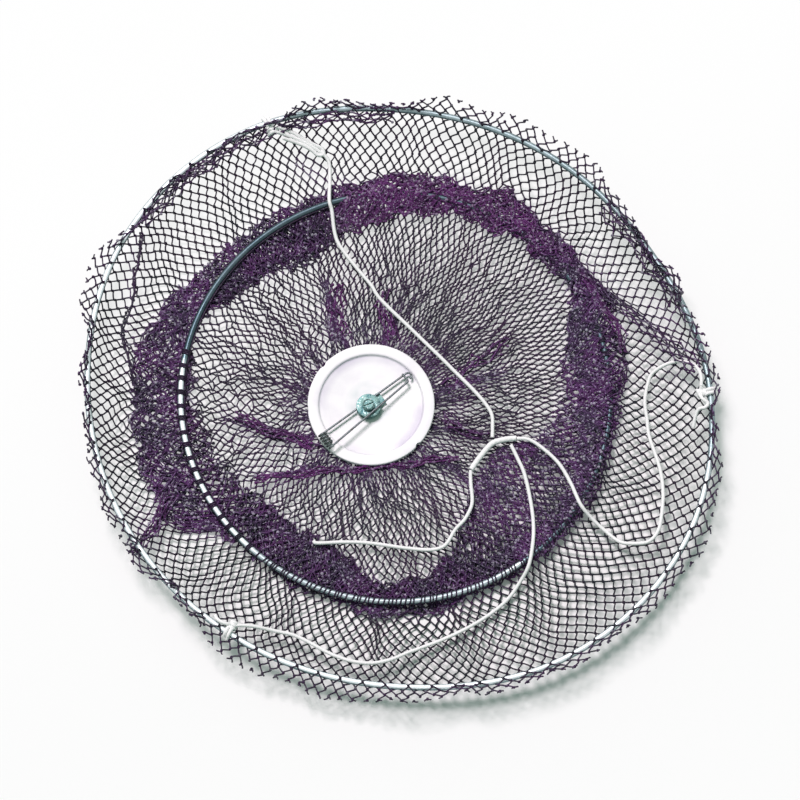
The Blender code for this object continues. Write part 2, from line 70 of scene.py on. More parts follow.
# The bridle: white nylon cord, braided of eight bundles, 1.8 mm thick. Three legs run from the
# large hoop to a join where they lie doubled, and one of them goes on as the haul tail with a cut
# end. All of it lies slack on the netting.
TURN = 2 * np.pi
CORD = 0.0018
JOIN = 0.0028
CORD_SIDES = 20
CORD_RING = 0.00028
BRAID_PAIRS = 4
BRAID_RELIEF = 0.11
BRAID_SLOPE = 1.15
BRIDLE_ROUTES = {
    "a": [
        (-0.0589, 0.1317, 0.0128), (-0.0507, 0.1298, 0.0102), (-0.0387, 0.1241, 0.0069),
        (-0.0339, 0.1195, 0.0052), (-0.0332, 0.1118, 0.0049), (-0.0334, 0.0983, 0.0093),
        (-0.0322, 0.0930, 0.0085), (-0.0307, 0.0820, 0.0064), (-0.0278, 0.0751, 0.0060),
        (-0.0204, 0.0651, 0.0055), (-0.0132, 0.0562, 0.0051), (-0.0087, 0.0492, 0.0048),
        (0.0055, 0.0348, 0.0043), (0.0199, 0.0202, 0.0042), (0.0271, 0.0126, 0.0043),
        (0.0362, 0.0030, 0.0046), (0.0420, -0.0042, 0.0049), (0.0448, -0.0098, 0.0050),
        (0.0450, -0.0163, 0.0050), (0.0449, -0.0207, 0.0050),
    ],
    "b": [
        (0.1449, 0.0022, 0.0139), (0.1450, 0.0064, 0.0137), (0.1439, 0.0104, 0.0133),
        (0.1412, 0.0136, 0.0122), (0.1351, 0.0160, 0.0100), (0.1284, 0.0154, 0.0072),
        (0.1216, 0.0114, 0.0048), (0.1191, 0.0045, 0.0041), (0.1181, -0.0030, 0.0041),
        (0.1191, -0.0116, 0.0041), (0.1200, -0.0198, 0.0046), (0.1236, -0.0318, 0.0060),
        (0.1255, -0.0397, 0.0070), (0.1264, -0.0496, 0.0079), (0.1255, -0.0615, 0.0089),
        (0.1236, -0.0693, 0.0092), (0.1191, -0.0742, 0.0090), (0.1116, -0.0747, 0.0075),
        (0.1053, -0.0732, 0.0061), (0.0988, -0.0677, 0.0048), (0.0924, -0.0618, 0.0061),
        (0.0869, -0.0556, 0.0092), (0.0823, -0.0445, 0.0075), (0.0768, -0.0345, 0.0066),
        (0.0693, -0.0268, 0.0062), (0.0625, -0.0221, 0.0059), (0.0567, -0.0214, 0.0056),
    ],
    "c": [
        (-0.0760, -0.1169, 0.0129), (-0.0689, -0.1171, 0.0116), (-0.0588, -0.1186, 0.0088),
        (-0.0497, -0.1205, 0.0079), (-0.0411, -0.1249, 0.0083), (-0.0324, -0.1300, 0.0091),
        (-0.0225, -0.1337, 0.0095), (-0.0128, -0.1347, 0.0093), (-0.0038, -0.1326, 0.0082),
        (0.0050, -0.1285, 0.0066), (0.0199, -0.1222, 0.0049), (0.0319, -0.1162, 0.0041),
        (0.0429, -0.1092, 0.0036), (0.0520, -0.1012, 0.0033), (0.0583, -0.0925, 0.0053),
        (0.0621, -0.0857, 0.0086), (0.0640, -0.0751, 0.0089), (0.0644, -0.0649, 0.0069),
        (0.0631, -0.0531, 0.0064), (0.0602, -0.0394, 0.0060), (0.0566, -0.0307, 0.0057),
        (0.0538, -0.0247, 0.0055),
    ],
}
JOIN_ROUTE = [
    (0.0563, -0.0214, 0.0060), (0.0511, -0.0220, 0.0059), (0.0448, -0.0240, 0.0056),
    (0.0391, -0.0305, 0.0054), (0.0347, -0.0370, 0.0054),
]
TAIL_ROUTE = [
    (0.0345, -0.0374, 0.0049), (0.0344, -0.0403, 0.0050), (0.0346, -0.0447, 0.0052),
    (0.0351, -0.0539, 0.0054), (0.0319, -0.0615, 0.0056), (0.0271, -0.0671, 0.0056),
    (0.0232, -0.0738, 0.0058), (0.0199, -0.0763, 0.0058), (0.0141, -0.0773, 0.0058),
    (0.0031, -0.0763, 0.0056), (-0.0142, -0.0737, 0.0053), (-0.0262, -0.0733, 0.0054),
    (-0.0387, -0.0738, 0.0055), (-0.0406, -0.0726, 0.0055),
]


def unit(vectors):
    """Each vector divided by its own length."""
    return vectors / np.linalg.norm(vectors, axis=-1, keepdims=True)


def smoothstep(t):
    """3 t squared less 2 t cubed, from 0 to 1, and flat outside."""
    t = np.clip(t, 0, 1)
    return t * t * (3 - 2 * t)


def catmull_rom(before, start, end, after, t):
    """The cubic from start to end, at the share t, whose slopes are half the chords beside it."""
    even = 2 * before - 5 * start + 4 * end - after
    odd = 3 * start - before - 3 * end + after
    return 0.5 * (2 * start + (end - before) * t + even * t**2 + odd * t**3)


def smooth_line(route, step):
    """Points a step apart along the smooth curve through a route's points."""
    at = np.asarray(route, float)
    at = np.vstack([2 * at[0] - at[1], at, 2 * at[-1] - at[-2]])
    t = np.linspace(0, 1, 16, endpoint=False)[None, :, None]
    parts = [at[k : len(at) - 3 + k, None] for k in range(4)]
    fine = np.vstack([catmull_rom(*parts, t).reshape(-1, 3), at[-2]])
    along = length_along(fine)
    places = np.linspace(0, along[-1], round(along[-1] / step) + 1)
    return np.stack([np.interp(places, along, fine[:, k]) for k in range(3)], 1)


def length_along(path):
    """The distance of each point of a path from its start."""
    return np.concatenate([[0], np.cumsum(np.linalg.norm(np.diff(path, axis=0), axis=1))])


def tube_grid(path, radius, sides, up=(0, 0, 1)):
    """A ring of points round each point of a path: radius times cos round the side, across up and
    the path, plus radius times sin round the top, across the side and the path."""
    tangent = unit(np.gradient(path, axis=0))
    side = unit(np.cross(tangent, up))
    top = np.cross(side, tangent)
    turn = TURN * np.arange(sides)[None, :, None] / sides
    round_it = np.cos(turn) * side[:, None] + np.sin(turn) * top[:, None]
    return path[:, None] + np.asarray(radius)[..., None] * round_it


def add_piece(name, points, faces, uv=None, finish=None, sharp=None):
    """A mesh object at the origin from points and arrays of faces, one row of point numbers a
    face; uv has a row of pairs for each face."""
    mesh = bpy.data.meshes.new(name)
    corners = np.concatenate([f.ravel() for f in faces])
    sizes = np.concatenate([np.full(len(f), f.shape[1]) for f in faces])
    mesh.vertices.add(len(points))
    mesh.vertices.foreach_set("co", np.ascontiguousarray(points, np.float32).ravel())
    mesh.loops.add(len(corners))
    mesh.loops.foreach_set("vertex_index", corners.astype(np.int32))
    mesh.polygons.add(len(sizes))
    mesh.polygons.foreach_set("loop_start", (np.cumsum(sizes) - sizes).astype(np.int32))
    mesh.update(calc_edges=True)
    if uv is not None:
        pairs = np.concatenate([u.reshape(-1, 2) for u in uv]).astype(np.float32)
        mesh.uv_layers.new(name="lay").uv.foreach_set("vector", pairs.ravel())
    mesh.shade_smooth()
    if sharp is not None:
        mesh.set_sharp_from_angle(angle=sharp)
    made = bpy.data.objects.new(name, mesh)
    bpy.context.scene.collection.objects.link(made)
    if finish is not None:
        mesh.materials.append(finish)
    return made


def grid_faces(rings, sides, along, closed=False):
    """Faces of a grid that closes round its rings, with a pole at each end unless its path is
    closed too. UV: once round is 1, and along is in metres."""
    ring, side = np.divmod(np.arange((rings if closed else rings - 1) * sides), sides)
    corner_ring = np.stack([ring, ring + 1, ring + 1, ring], 1)
    corner_side = np.stack([side, side, side + 1, side + 1], 1)
    quads = corner_ring % rings * sides + corner_side % sides
    quad_uv = np.stack([corner_side / sides, along[corner_ring]], -1)
    if closed:
        return [quads], [quad_uv]
    turn = np.arange(sides)
    after = (turn + 1) % sides
    last = (rings - 1) * sides
    start = np.stack([turn, after, np.full(sides, rings * sides)], 1)
    end = np.stack([last + after, last + turn, np.full(sides, rings * sides + 1)], 1)
    pole_turn = np.stack([turn, turn + 1, turn + 0.5], 1) / sides
    start_uv = np.stack([pole_turn, np.full((sides, 3), along[0])], -1)
    end_uv = np.stack([pole_turn[:, [1, 0, 2]], np.full((sides, 3), along[-1])], -1)
    return [quads, start, end], [quad_uv, start_uv, end_uv]


def add_tube(name, path, radius, sides, finish, up=(0, 0, 1), closed=False):
    """A round piece along a path, closed at both ends by a pole, or all the way round."""
    if closed:
        grid = tube_grid(np.vstack([path[-1], path, path[0]]), radius, sides, up)[1:-1]
        along = length_along(np.vstack([path, path[0]]))
        points = grid.reshape(-1, 3)
    else:
        grid = tube_grid(path, radius, sides, up)
        along = length_along(path)
        points = np.vstack([grid.reshape(-1, 3), path[0], path[-1]])
    faces, uv = grid_faces(len(grid), sides, along, closed)
    return add_piece(name, points, faces, uv, finish)


def braid_radius(along, diameter):
    """Half the diameter, less the relief where a bundle of the braid dips under another: of the
    bundles that wind each way, the higher one shows, each a rounded ridge as long as it is over."""
    turn = np.arange(CORD_SIDES)[None] / CORD_SIDES * BRAID_PAIRS
    rise = along[:, None] / (TURN / 2 * diameter / BRAID_PAIRS) / BRAID_SLOPE
    right, left = turn + rise, turn - rise
    over = np.cos(np.pi * (right + left))
    ridge_right = np.abs(np.cos(np.pi * right)) * (1 + 0.5 * over)
    ridge_left = np.abs(np.cos(np.pi * left)) * (1 - 0.5 * over)
    height = np.clip(np.maximum(ridge_right, ridge_left), 0, 1)
    return diameter / 2 * (1 - BRAID_RELIEF * (1 - height))


def add_cord(name, path, diameter, finish, up=(0, 0, 1)):
    """A tube with a braid's relief."""
    return add_tube(name, path, braid_radius(length_along(path), diameter), CORD_SIDES, finish, up)


class Link:
    """An output in a material's node tree. Python's arithmetic on it adds Math nodes."""

    def __init__(self, tree, socket=None):
        self.tree = tree
        self.socket = socket

    def node(self, kind, settings=None, sockets=None, output=0):
        """Any node, its settings set before the values or links of its sockets."""
        made = self.tree.nodes.new("ShaderNode" + kind)
        for name, value in (settings or {}).items():
            if name == "stops":
                ramp = made.color_ramp.elements
                while len(ramp) < len(value):
                    ramp.new(1)
                for stop, (position, colour) in zip(ramp, value):
                    stop.position = position
                    stop.color = (*colour, 1) if np.ndim(colour) else (colour, colour, colour, 1)
            else:
                setattr(made, name, value)
        for name, value in (sockets or {}).items():
            self.plug(made.inputs[name], value)
        return Link(self.tree, made.outputs[output])

    def plug(self, target, value):
        """Links a socket, or sets its constant."""
        if isinstance(value, Link):
            self.tree.links.new(value.socket, target)
        elif target.type == "RGBA":
            target.default_value = (*value, 1)
        else:
            target.default_value = value

    def math(self, operation, *values):
        """A Math node on these values, numbers or links."""
        return self.node("Math", {"operation": operation}, dict(enumerate(values)))

    def __add__(self, other):
        return self.math("ADD", self, other)

    def __mul__(self, other):
        return self.math("MULTIPLY", self, other)

    def __sub__(self, other):
        return self.math("SUBTRACT", self, other)

    def __rsub__(self, other):
        return self.math("SUBTRACT", other, self)

    def __truediv__(self, other):
        return self.math("DIVIDE", self, other)

    def __pow__(self, other):
        return self.math("POWER", self, other)

    __radd__ = __add__
    __rmul__ = __mul__

    def clip(self):
        """This value, kept from 0 to 1."""
        return self.node("Clamp", sockets={"Value": self})

    def ramp(self, *stops):
        """A colour by this value, through stops of a position and a colour or a grey."""
        return self.node("ValToRGB", {"stops": stops}, {"Fac": self})

    def noise(self, place, scale, detail=3.0, roughness=0.5):
        """Noise at a place, with about scale lumps a metre."""
        sockets = {"Vector": place, "Scale": scale, "Detail": detail, "Roughness": roughness}
        return self.node("TexNoise", sockets=sockets)

    def blend(self, first, second):
        """A colour from first to second, by this value from 0 to 1."""
        sockets = {"Factor": self, 6: first, 7: second}
        return self.node("Mix", {"data_type": "RGBA"}, sockets, 2)

    def part(self, axis):
        """One of a vector's three parts."""
        return self.node("SeparateXYZ", sockets={0: self}, output=axis)


def new_finish(name, **constants):
    """A material on the Principled shader with these sockets set, its tree to build on, and the
    place on the piece that it reads."""
    material = bpy.data.materials.new(name)
    material.use_nodes = True
    root = Link(material.node_tree)
    connect(root, **constants)
    return material, root, root.node("TexCoord", output="Object")


def connect(root, shader="Principled BSDF", **sockets):
    """Sets or links the shader's sockets, named with _ for each space."""
    for socket, value in sockets.items():
        root.plug(root.tree.nodes[shader].inputs[socket.replace("_", " ")], value)


def bump(root, height, strength, distance):
    """The normal of a surface that stands up to distance high where height is 1."""
    return root.node("Bump", sockets={"Height": height, "Strength": strength, "Distance": distance})


braid_finish, root, place = new_finish("white_braid", Specular_IOR_Level=0.35, Sheen_Weight=0.15)
lay = root.node("UVMap", {"uv_map": "lay"})
fibre_place = root.node("CombineXYZ", sockets={"X": lay.part(0) * 40.0, "Y": lay.part(1) * 1500.0})
fibres = root.noise(fibre_place, 1.0, 2.0)
grime = root.noise(place, 160.0, 4.0).ramp((0.48, 0), (0.80, 1))
connect(
    root,
    Base_Color=(grime * 0.22).blend((0.96, 0.96, 0.96), (0.70, 0.71, 0.70)),
    Roughness=0.62 + fibres * 0.2,
    Normal=bump(root, fibres, 0.35, 0.00012),
)

bridle_legs, bridle_lines = {}, {}
for letter, route in BRIDLE_ROUTES.items():
    line = smooth_line(route, CORD_RING)
    leg = add_cord(f"bridle_leg_{letter}", line, CORD, braid_finish)
    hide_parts(f"bridle_cord_{letter}")
    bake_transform(leg)
    bridle_legs[letter] = leg
    bridle_lines[letter] = line

doubled = add_cord("bridle_doubled", smooth_line(JOIN_ROUTE, CORD_RING), JOIN, braid_finish)
line = smooth_line(TAIL_ROUTE, CORD_RING)
tail = add_cord("haul_line", line, CORD, braid_finish)
for piece, node in ((doubled, "bridle_join"), (tail, "haul_tail")):
    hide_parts(node)
    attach(piece, "bridle")


# The two hoops: 3 mm galvanised wire, bent round and butt-welded. The large one is bent out of
# true by use, and stands about 12 mm up on the springy netting.
WIRE = 0.003
HOOP_SIDES = 18
HOOP_RINGS = 720
UPPER_RADIUS = 0.148
UPPER_BENDS = np.array([
    -0.0005, -0.0100, -0.0100, -0.0065, 0.0025, 0.0055,
    0.0025, 0.0005, -0.0005, 0.0010, 0.0075, 0.0075,
])
UPPER_CENTRE = np.array([0.0015, 0.0017])
UPPER_HEIGHT = 0.012
LOWER_RADIUS = 0.103
LOWER_CENTRE = np.array([-0.0015, -0.0001])
LOWER_HEIGHT = 0.0054


def round_trip(stations, angle):
    """A smooth periodic value through stations spaced evenly round a circle."""
    stations = np.asarray(stations, float)
    at = np.mod(angle, TURN) / TURN * len(stations)
    low = np.floor(at).astype(int)
    parts = (stations[(low + k) % len(stations)] for k in (-1, 0, 1, 2))
    return catmull_rom(*parts, at - low)


def circle_point(centre, radius, angle, height):
    """A point at a radius, an angle and a height about a centre."""
    shape = np.broadcast(radius, angle, height).shape
    x = centre[0] + radius * np.cos(angle)
    y = centre[1] + radius * np.sin(angle)
    return np.stack([x, y, np.broadcast_to(height, shape)], -1)


def upper_point(angle, inward=0.0, height=UPPER_HEIGHT):
    """A point of the large hoop, or one as far inside it as inward says."""
    radius = UPPER_RADIUS + round_trip(UPPER_BENDS, angle) - inward
    return circle_point(UPPER_CENTRE, radius, angle, height)


def lower_point(angle, beyond=0.0, height=LOWER_HEIGHT):
    """A point of the small hoop, or one as far beyond it as beyond says."""
    return circle_point(LOWER_CENTRE, LOWER_RADIUS + beyond, angle, height)


def give_values(piece, **values):
    """Gives each point of a piece a number of each name, for its material to read."""
    for name, numbers in values.items():
        numbers = np.broadcast_to(numbers, len(piece.data.vertices)).astype(np.float32)
        piece.data.attributes.new(name, "FLOAT", "POINT").data.foreach_set("value", numbers)


wire_finish, root, place = new_finish("galvanised_wire", Specular_IOR_Level=0.5)
spangle = root.node("TexVoronoi", sockets={"Vector": place, "Scale": 700.0}, output="Color")
spangle = root.node("RGBToBW", sockets={0: spangle})
patches = root.noise(place, 55.0, 5.0, 0.6).ramp((0.38, 0), (0.68, 1))
scuffs = root.noise(place, 900.0, 3.0)
# A painted highlight: where the wire faces up, with its scuffs and patches mixed in, it is painted pale
# and made less metallic.
painted_highlight = root.node("TexCoord", output="Normal").part(2) + scuffs * 0.3 + patches * 0.2
# Painted shade along stretches of each hoop, set by angle: it takes away the painted highlight, and past
# 1 it paints the wire darker.
dull = root.node("Attribute", {"attribute_name": "dull"}, output="Fac")
painted_highlight = painted_highlight.ramp((0.80, 0), (1.12, 1)) * (1 - dull * 0.85).clip()
wire_colour = patches.blend((0.055, 0.115, 0.130), (0.20, 0.29, 0.31))
wire_colour = (spangle * 0.3).blend(wire_colour, (0.40, 0.50, 0.52))
wire_colour = ((dull - 1.0) * 0.75).clip().blend(wire_colour, (0.016, 0.034, 0.048))
wire_colour = painted_highlight.blend(wire_colour, (0.80, 0.88, 0.90))
connect(
    root,
    Base_Color=wire_colour,
    Metallic=0.70 - painted_highlight * 0.35,
    Roughness=0.30 + patches * 0.18 + scuffs * 0.08,
    Normal=bump(root, scuffs + spangle * 0.5, 0.25, 0.0001),
)

turns = TURN * np.arange(HOOP_RINGS) / HOOP_RINGS
# Each hoop's stretches of painted shade: where they begin and how far they span, in degrees, and how
# strong.
for name, point_at, node, body, painted_shade_parts in (
    ("large_hoop", upper_point, "upper_hoop", "rim", [(-20, 138, 1.0)]),
    ("small_hoop", lower_point, "lower_hoop", "base", [(-58, 232, 2.0), (224, 84, 0.8)]),
):
    hoop = add_tube(name, point_at(turns), WIRE / 2, HOOP_SIDES, wire_finish, closed=True)
    dull = np.zeros(HOOP_RINGS)
    for begins, span, amount in painted_shade_parts:
        past = np.mod(turns - np.radians(begins), TURN)
        inside = smoothstep(past / 0.15) * smoothstep((np.radians(span) - past) / 0.15)
        dull = np.maximum(dull, amount * inside)
    give_values(hoop, dull=np.repeat(dull, HOOP_SIDES))
    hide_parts(node)
    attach(hoop, body)


# The bridle's knots on the large hoop: the end of each leg goes round the wire, coils round the
# leg and leaves a spare end, which lies along leg a, and hangs from the hoop at b and c.
KNOT_ANGLES = {"a": np.radians(115.6), "b": np.radians(-0.8), "c": np.radians(235.9)}
KNOT_INWARD = 0.0042
KNOT_COIL = 0.0015
KNOT_PITCH = 0.0015
COIL_TURNS = 2.4
WRAP_TURNS = 1.35
WRAP_PITCH = 0.0019
WRAP_START = 0.9
SPARE_A_LENGTH = 0.026
SPARE_ENDS = {
    "b": [(0.1410, -0.0176, 0.0112), (0.1420, -0.0128, 0.0128), (0.1436, -0.0095, 0.0143),
          (0.1466, -0.0088, 0.0150), (0.1480, -0.0066, 0.0148), (0.1452, -0.0040, 0.0146)],
    "c": [(-0.0872, -0.1124, 0.0136), (-0.0858, -0.1148, 0.0146), (-0.0822, -0.1166, 0.0144)],
}


def hitch_path(letter):
    """The spare end, then a coil about the way inward: the radius times cos along the hoop and
    sin up, and a pitch a turn. Then a wrap about the wire, and the way back through the coil."""
    angle = KNOT_ANGLES[letter]
    centre = upper_point(angle)
    along = unit(upper_point(angle + 0.01) - upper_point(angle - 0.01))
    inward = np.cross(along, (0, 0, -1))
    inward = inward * np.sign(inward @ (np.array([*UPPER_CENTRE, UPPER_HEIGHT]) - centre))
    up = np.array([0, 0, 1.0])
    middle = centre + KNOT_INWARD * inward
    turn = np.linspace(0, TURN * COIL_TURNS, 26)[:, None]
    coil_way = np.cos(turn) * along + np.sin(turn) * up
    coil = middle + KNOT_COIL * coil_way + inward * KNOT_PITCH * (COIL_TURNS / 2 - turn / TURN)
    turn = np.linspace(WRAP_START, WRAP_START + TURN * WRAP_TURNS, 20)[:, None]
    wrap_way = np.cos(turn) * inward + np.sin(turn) * up
    wrap = centre + (WIRE / 2 + CORD / 2) * wrap_way + along * WRAP_PITCH * (turn / TURN - WRAP_TURNS / 2)
    leg_start = bridle_lines[letter][0]
    if letter == "a":
        beside = bridle_lines["a"][: round(SPARE_A_LENGTH / CORD_RING) : 14]
        aside = unit(np.cross(np.gradient(beside, axis=0), up)) * CORD
        drift = 1 + 0.22 * np.sin(np.arange(len(beside)) * 1.1)[:, None]
        bight = beside[-1] + 0.5 * (beside[-1] - beside[-2])
        spare = np.vstack([(beside + aside * drift)[1:], bight, (beside - aside * drift)[::-1]])
    else:
        spare = np.array(SPARE_ENDS[letter])
    route = np.vstack([spare, coil, wrap, middle, leg_start])
    radial = np.vstack([np.tile(up, (len(spare), 1)), coil_way, wrap_way, up, up])
    line = smooth_line(route, CORD_RING)
    share = length_along(route) / length_along(route)[-1]
    radial = np.stack([np.interp(np.linspace(0, 1, len(line)), share, radial[:, k]) for k in range(3)], 1)
    return line, radial


for letter in KNOT_ANGLES:
    line, radial = hitch_path(letter)
    hitch = add_cord(f"bridle_hitch_{letter}", line, CORD, braid_finish, up=radial)
    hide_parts(f"hoop_knot_{letter}")
    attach(hitch, "rim")
    line = bridle_lines[letter]


# The wall of the net: diamond mesh knotted by machine of twisted dark twine, 171 meshes round. The
# large hoop runs through a row of meshes, and the cut edge stands out past it in stubs. Collapsed,
# the spare wall lies in folds about the small hoop: under it, and on the right over it.
COLUMNS = 171
BAR = 0.0042
TWINE = 0.00078
KNOT = 0.00084
KNOT_OFFSET = 0.0005
SKIRT_ROWS = 4
SKIRT_LENGTH = 0.0128
STUB_SHARE = 0.45
WALL_ROWS = 62
BAR_SIDES = 5
BAR_RINGS = 4
SECTORS = 19
SETTLE_ROUNDS = 40
# How far the cut edge reaches past the hoop, every 10 degrees from +X; below 0 it is turned in.
SKIRT_REACH = np.array([
    3.0, 4.6, 2.2, 0.8, 3.5, 8.5, 9.3, 9.2, 6.9, 0.2, 1.6, 2.7, -4.0, -5.5, -5.5, 0.8, 8.3, 2.6,
    3.0, 3.4, 4.8, 7.2, 5.5, 5.8, 11.5, 12.5, 12.0, 8.4, 7.4, 6.3, 6.0, 5.8, 9.3, 10.2, 7.8, 4.4,
]) / 1000
# The folds' reach inside and outside the small hoop, every 15 degrees from +X.
FOLD_INSIDE = np.array([
    25, 23, 8, 4, 6, 9, 12, 18, 23, 20, 6, 4, 7, 12, 21, 25, 25, 20, 12, 18, 41, 51, 50, 36,
]) / 1000
FOLD_OUTSIDE = np.array([
    9, 10, 7, 11, 14, 14, 10, 9, 9, 11, 14, 24, 24, 25, 24, 4, 4, 4, 7, 7, 6, 5, 5, 6,
]) / 1000
# Where the folds lie over the small hoop: from the first angle, as far round as the second.
OVER_START = np.radians(-58)
OVER_SPAN = np.radians(166)
# Pleats pulled straight across the wall: start, end, half width, how far they close, and lift.
WALL_PLEATS = [
    ((0.0860, 0.0682), (0.1390, 0.0150), 0.012, 0.80, 0.0008),
    ((0.1010, 0.0560), (0.1420, 0.0250), 0.008, 0.55, 0.0004),
    ((-0.1235, 0.0800), (-0.1290, 0.0469), 0.0045, 0.80, 0.0005),
    ((-0.1290, 0.0469), (-0.1289, 0.0149), 0.0045, 0.80, 0.0005),
    ((-0.1110, -0.0540), (-0.1270, -0.0820), 0.008, 0.80, 0.0006),
    ((-0.0500, 0.1180), (-0.0150, 0.1000), 0.006, 0.45, 0.0003),
]
# Narrow tucks where the netting is folded on itself: route, meshes across, its width at either end,
# how far it is crumpled, and its depth in the folds.
WALL_TUCKS = [
    ([(0.0847, 0.0682, 0.0062), (0.1010, 0.0490, 0.0076), (0.1220, 0.0300, 0.0104),
      (0.1430, 0.0110, 0.0132)], 3, 0.0026, 0.0110, 0.00008, 0.7),
    ([(0.0810, 0.0680, 0.0068), (0.0940, 0.0510, 0.0072), (0.1040, 0.0350, 0.0070),
      (0.1080, 0.0220, 0.0064)], 4, 0.0035, 0.0040, 0.00045, 1.25),
    ([(-0.1235, 0.0800, 0.0116), (-0.1284, 0.0469, 0.0112), (-0.1325, 0.0294, 0.0104),
      (-0.1289, 0.0149, 0.0085), (-0.1255, 0.0044, 0.0050)], 2, 0.0012, 0.0022, 0.00040, 0.3),
    ([(-0.1080, -0.0500, 0.0046), (-0.1160, -0.0640, 0.0066), (-0.1250, -0.0810, 0.0112)],
     4, 0.0080, 0.0050, 0.00070, 1.1),
]


def ragged(angle, seed):
    """A sum of six sines round the circle, 9 to 70 waves each, about 1 high."""
    draw = np.random.default_rng(seed)
    count = draw.integers(9, 70, 6)
    phase = draw.uniform(0, TURN, 6)
    return np.sin(angle[..., None] * count + phase).sum(-1) / np.sqrt(3)


def over_hoop(angle):
    """1 on the right, where the slack lies over the small hoop, and 0 where it lies under it."""
    turn = np.mod(angle - OVER_START, TURN)
    return smoothstep(turn / 0.08) * smoothstep((OVER_SPAN - turn) / 0.08)


def floor_height(radius):
    """The netting inside the small hoop is low by the dish and rises to the hoop: 1.3 mm, and
    3.1 mm more times the power 1.3 of the share of the way out."""
    return 0.0013 + 0.0031 * np.clip((radius - 0.030) / (LOWER_RADIUS - 0.030), 0, 1) ** 1.3


def wall_section(angle):
    """The wall's way points at each angle, from its cut edge over the large hoop down to the
    slack, then in and out round the small hoop, as often as the wall is long, to its lacing. The
    angle is moved by 0.08 times its sine, so that the meshes are closest on the left."""
    angle = angle + 0.08 * np.sin(angle)
    reach = round_trip(SKIRT_REACH, angle) * 1.17 + 0.0007 * ragged(angle, 20)
    rise = 0.75 * np.sqrt(np.maximum(SKIRT_LENGTH**2 - reach**2, 0))
    rise = rise * (1 - 0.3 * smoothstep(ragged(angle, 23)))
    top = upper_point(angle)
    edge_point = upper_point(angle, -reach, UPPER_HEIGHT + 0.0006 + rise)
    over = over_hoop(angle)
    inside = round_trip(FOLD_INSIDE, angle) + 0.0006 * ragged(angle, 21)
    outside = round_trip(FOLD_OUTSIDE, angle) + 0.0006 * ragged(angle, 22)
    foot = lower_point(angle, outside + 0.002, 0.0012 + 0.0014 * over)
    open_length = np.linalg.norm(top - foot, axis=-1)
    row_length = np.sqrt(BAR**2 - (TURN / 2 * LOWER_RADIUS / COLUMNS) ** 2)
    spare = WALL_ROWS * row_length - open_length * 1.12 - 2 * inside - 3 * outside
    again = np.clip(spare / 4, 0.003, inside + outside)

    def at(beyond, under_height, over_height, share=1.0):
        """A point beyond the small hoop, at the height for the side that the slack lies on."""
        return lower_point(angle, beyond, under_height + (over_height - under_height) * over * share)

    step = -np.minimum(0.8 * inside, 0.009)
    back = outside - again
    crossing = smoothstep(-back / 0.004)
    edge = np.maximum(back, 0)
    way = [edge_point, top]
    way += [foot + (top - foot) * np.array([s, s, s**1.7]) for s in (0.8, 0.6, 0.3)]
    # Then layer on layer: how far beyond the small hoop, and the heights under and over it.
    way += [
        foot,
        at(0.0, 0.0008, 0.0084),
        at(step, 0.0006, floor_height(LOWER_RADIUS + step) + 0.0012),
        at(-inside, 0.0006, floor_height(LOWER_RADIUS - inside) + 0.0006),
        at(step, 0.0011, floor_height(LOWER_RADIUS + step) + 0.0008),
        at(0.0, 0.0013, 0.0081),
        at(outside, 0.0016, 0.0024),
        at(edge, 0.0018, 0.0078, crossing),
        at(back, 0.0020, 0.0020 + 0.0022 * crossing),
        at(edge, 0.0022, 0.0076, crossing),
        at(0.94 * outside, 0.0024, 0.0016),
        at(edge, 0.0026, 0.0074, crossing),
        at(back + 0.002, 0.0028, 0.0018 + 0.0024 * crossing),
        at(-0.001, 0.0034, 0.0034 + 0.0038 * crossing),
    ]
    return np.stack(way, -2)


def wall_knots():
    """Places of the wall's knots, by row and column. Every second row is half a mesh on. Rows
    follow the section at the step that leaves each bar its own length: the root of the bar's
    square less that of half a mesh's width. A second array gives how deep in the folds they lie."""
    angle = TURN * np.arange(2 * COLUMNS) / (2 * COLUMNS)
    samples = 24
    foot_way = 5
    way = wall_section(angle)
    t = np.linspace(0, 1, samples, endpoint=False)[None, None, :, None]
    line = (way[:, :-1, None] + (way[:, 1:] - way[:, :-1])[:, :, None] * t).reshape(len(angle), -1, 3)
    line = np.concatenate([line, way[:, -1:]], 1)
    step = np.linalg.norm(np.diff(line, axis=1), axis=2)
    middle = (line[:, 1:] + line[:, :-1]) / 2
    half_width = TURN / 2 * np.linalg.norm(middle[..., :2], axis=-1) / COLUMNS
    counted = np.cumsum(step / np.sqrt(BAR**2 - half_width**2), 1)
    count = np.concatenate([np.zeros((len(angle), 1)), counted], 1)
    at_top, at_foot, total = count[:, samples], count[:, foot_way * samples], count[:, -1]
    row = np.arange(SKIRT_ROWS + WALL_ROWS + 1)
    knots = np.zeros((len(row), COLUMNS, 3))
    depth = np.zeros((len(row), COLUMNS))
    for place in range(2 * COLUMNS):
        mine = row[row % 2 == place % 2]
        open_rows = at_foot[place] - at_top[place]
        below = np.clip(mine - SKIRT_ROWS, 0, None)
        tight = (total[place] - at_foot[place]) / (WALL_ROWS - open_rows)
        folded = open_rows + (below - open_rows) * tight
        wanted = at_top[place] + np.where(below < open_rows, below, folded)
        wanted = np.where(mine <= SKIRT_ROWS, at_top[place] * mine / SKIRT_ROWS, wanted)
        for axis in range(3):
            knots[mine, place // 2, axis] = np.interp(wanted, count[place], line[place, :, axis])
        depth[mine, place // 2] = np.clip((below - open_rows) / 3, 0, 1)
    return knots, depth


def next_knots(rows):
    """Row and column of the two knots that the bars of each knot but the last row's run to, to
    the left and to the right."""
    row, column = np.meshgrid(np.arange(rows - 1), np.arange(COLUMNS), indexing="ij")
    right = (column + row % 2) % COLUMNS
    return (row + 1, (right - 1) % COLUMNS), (row + 1, right)


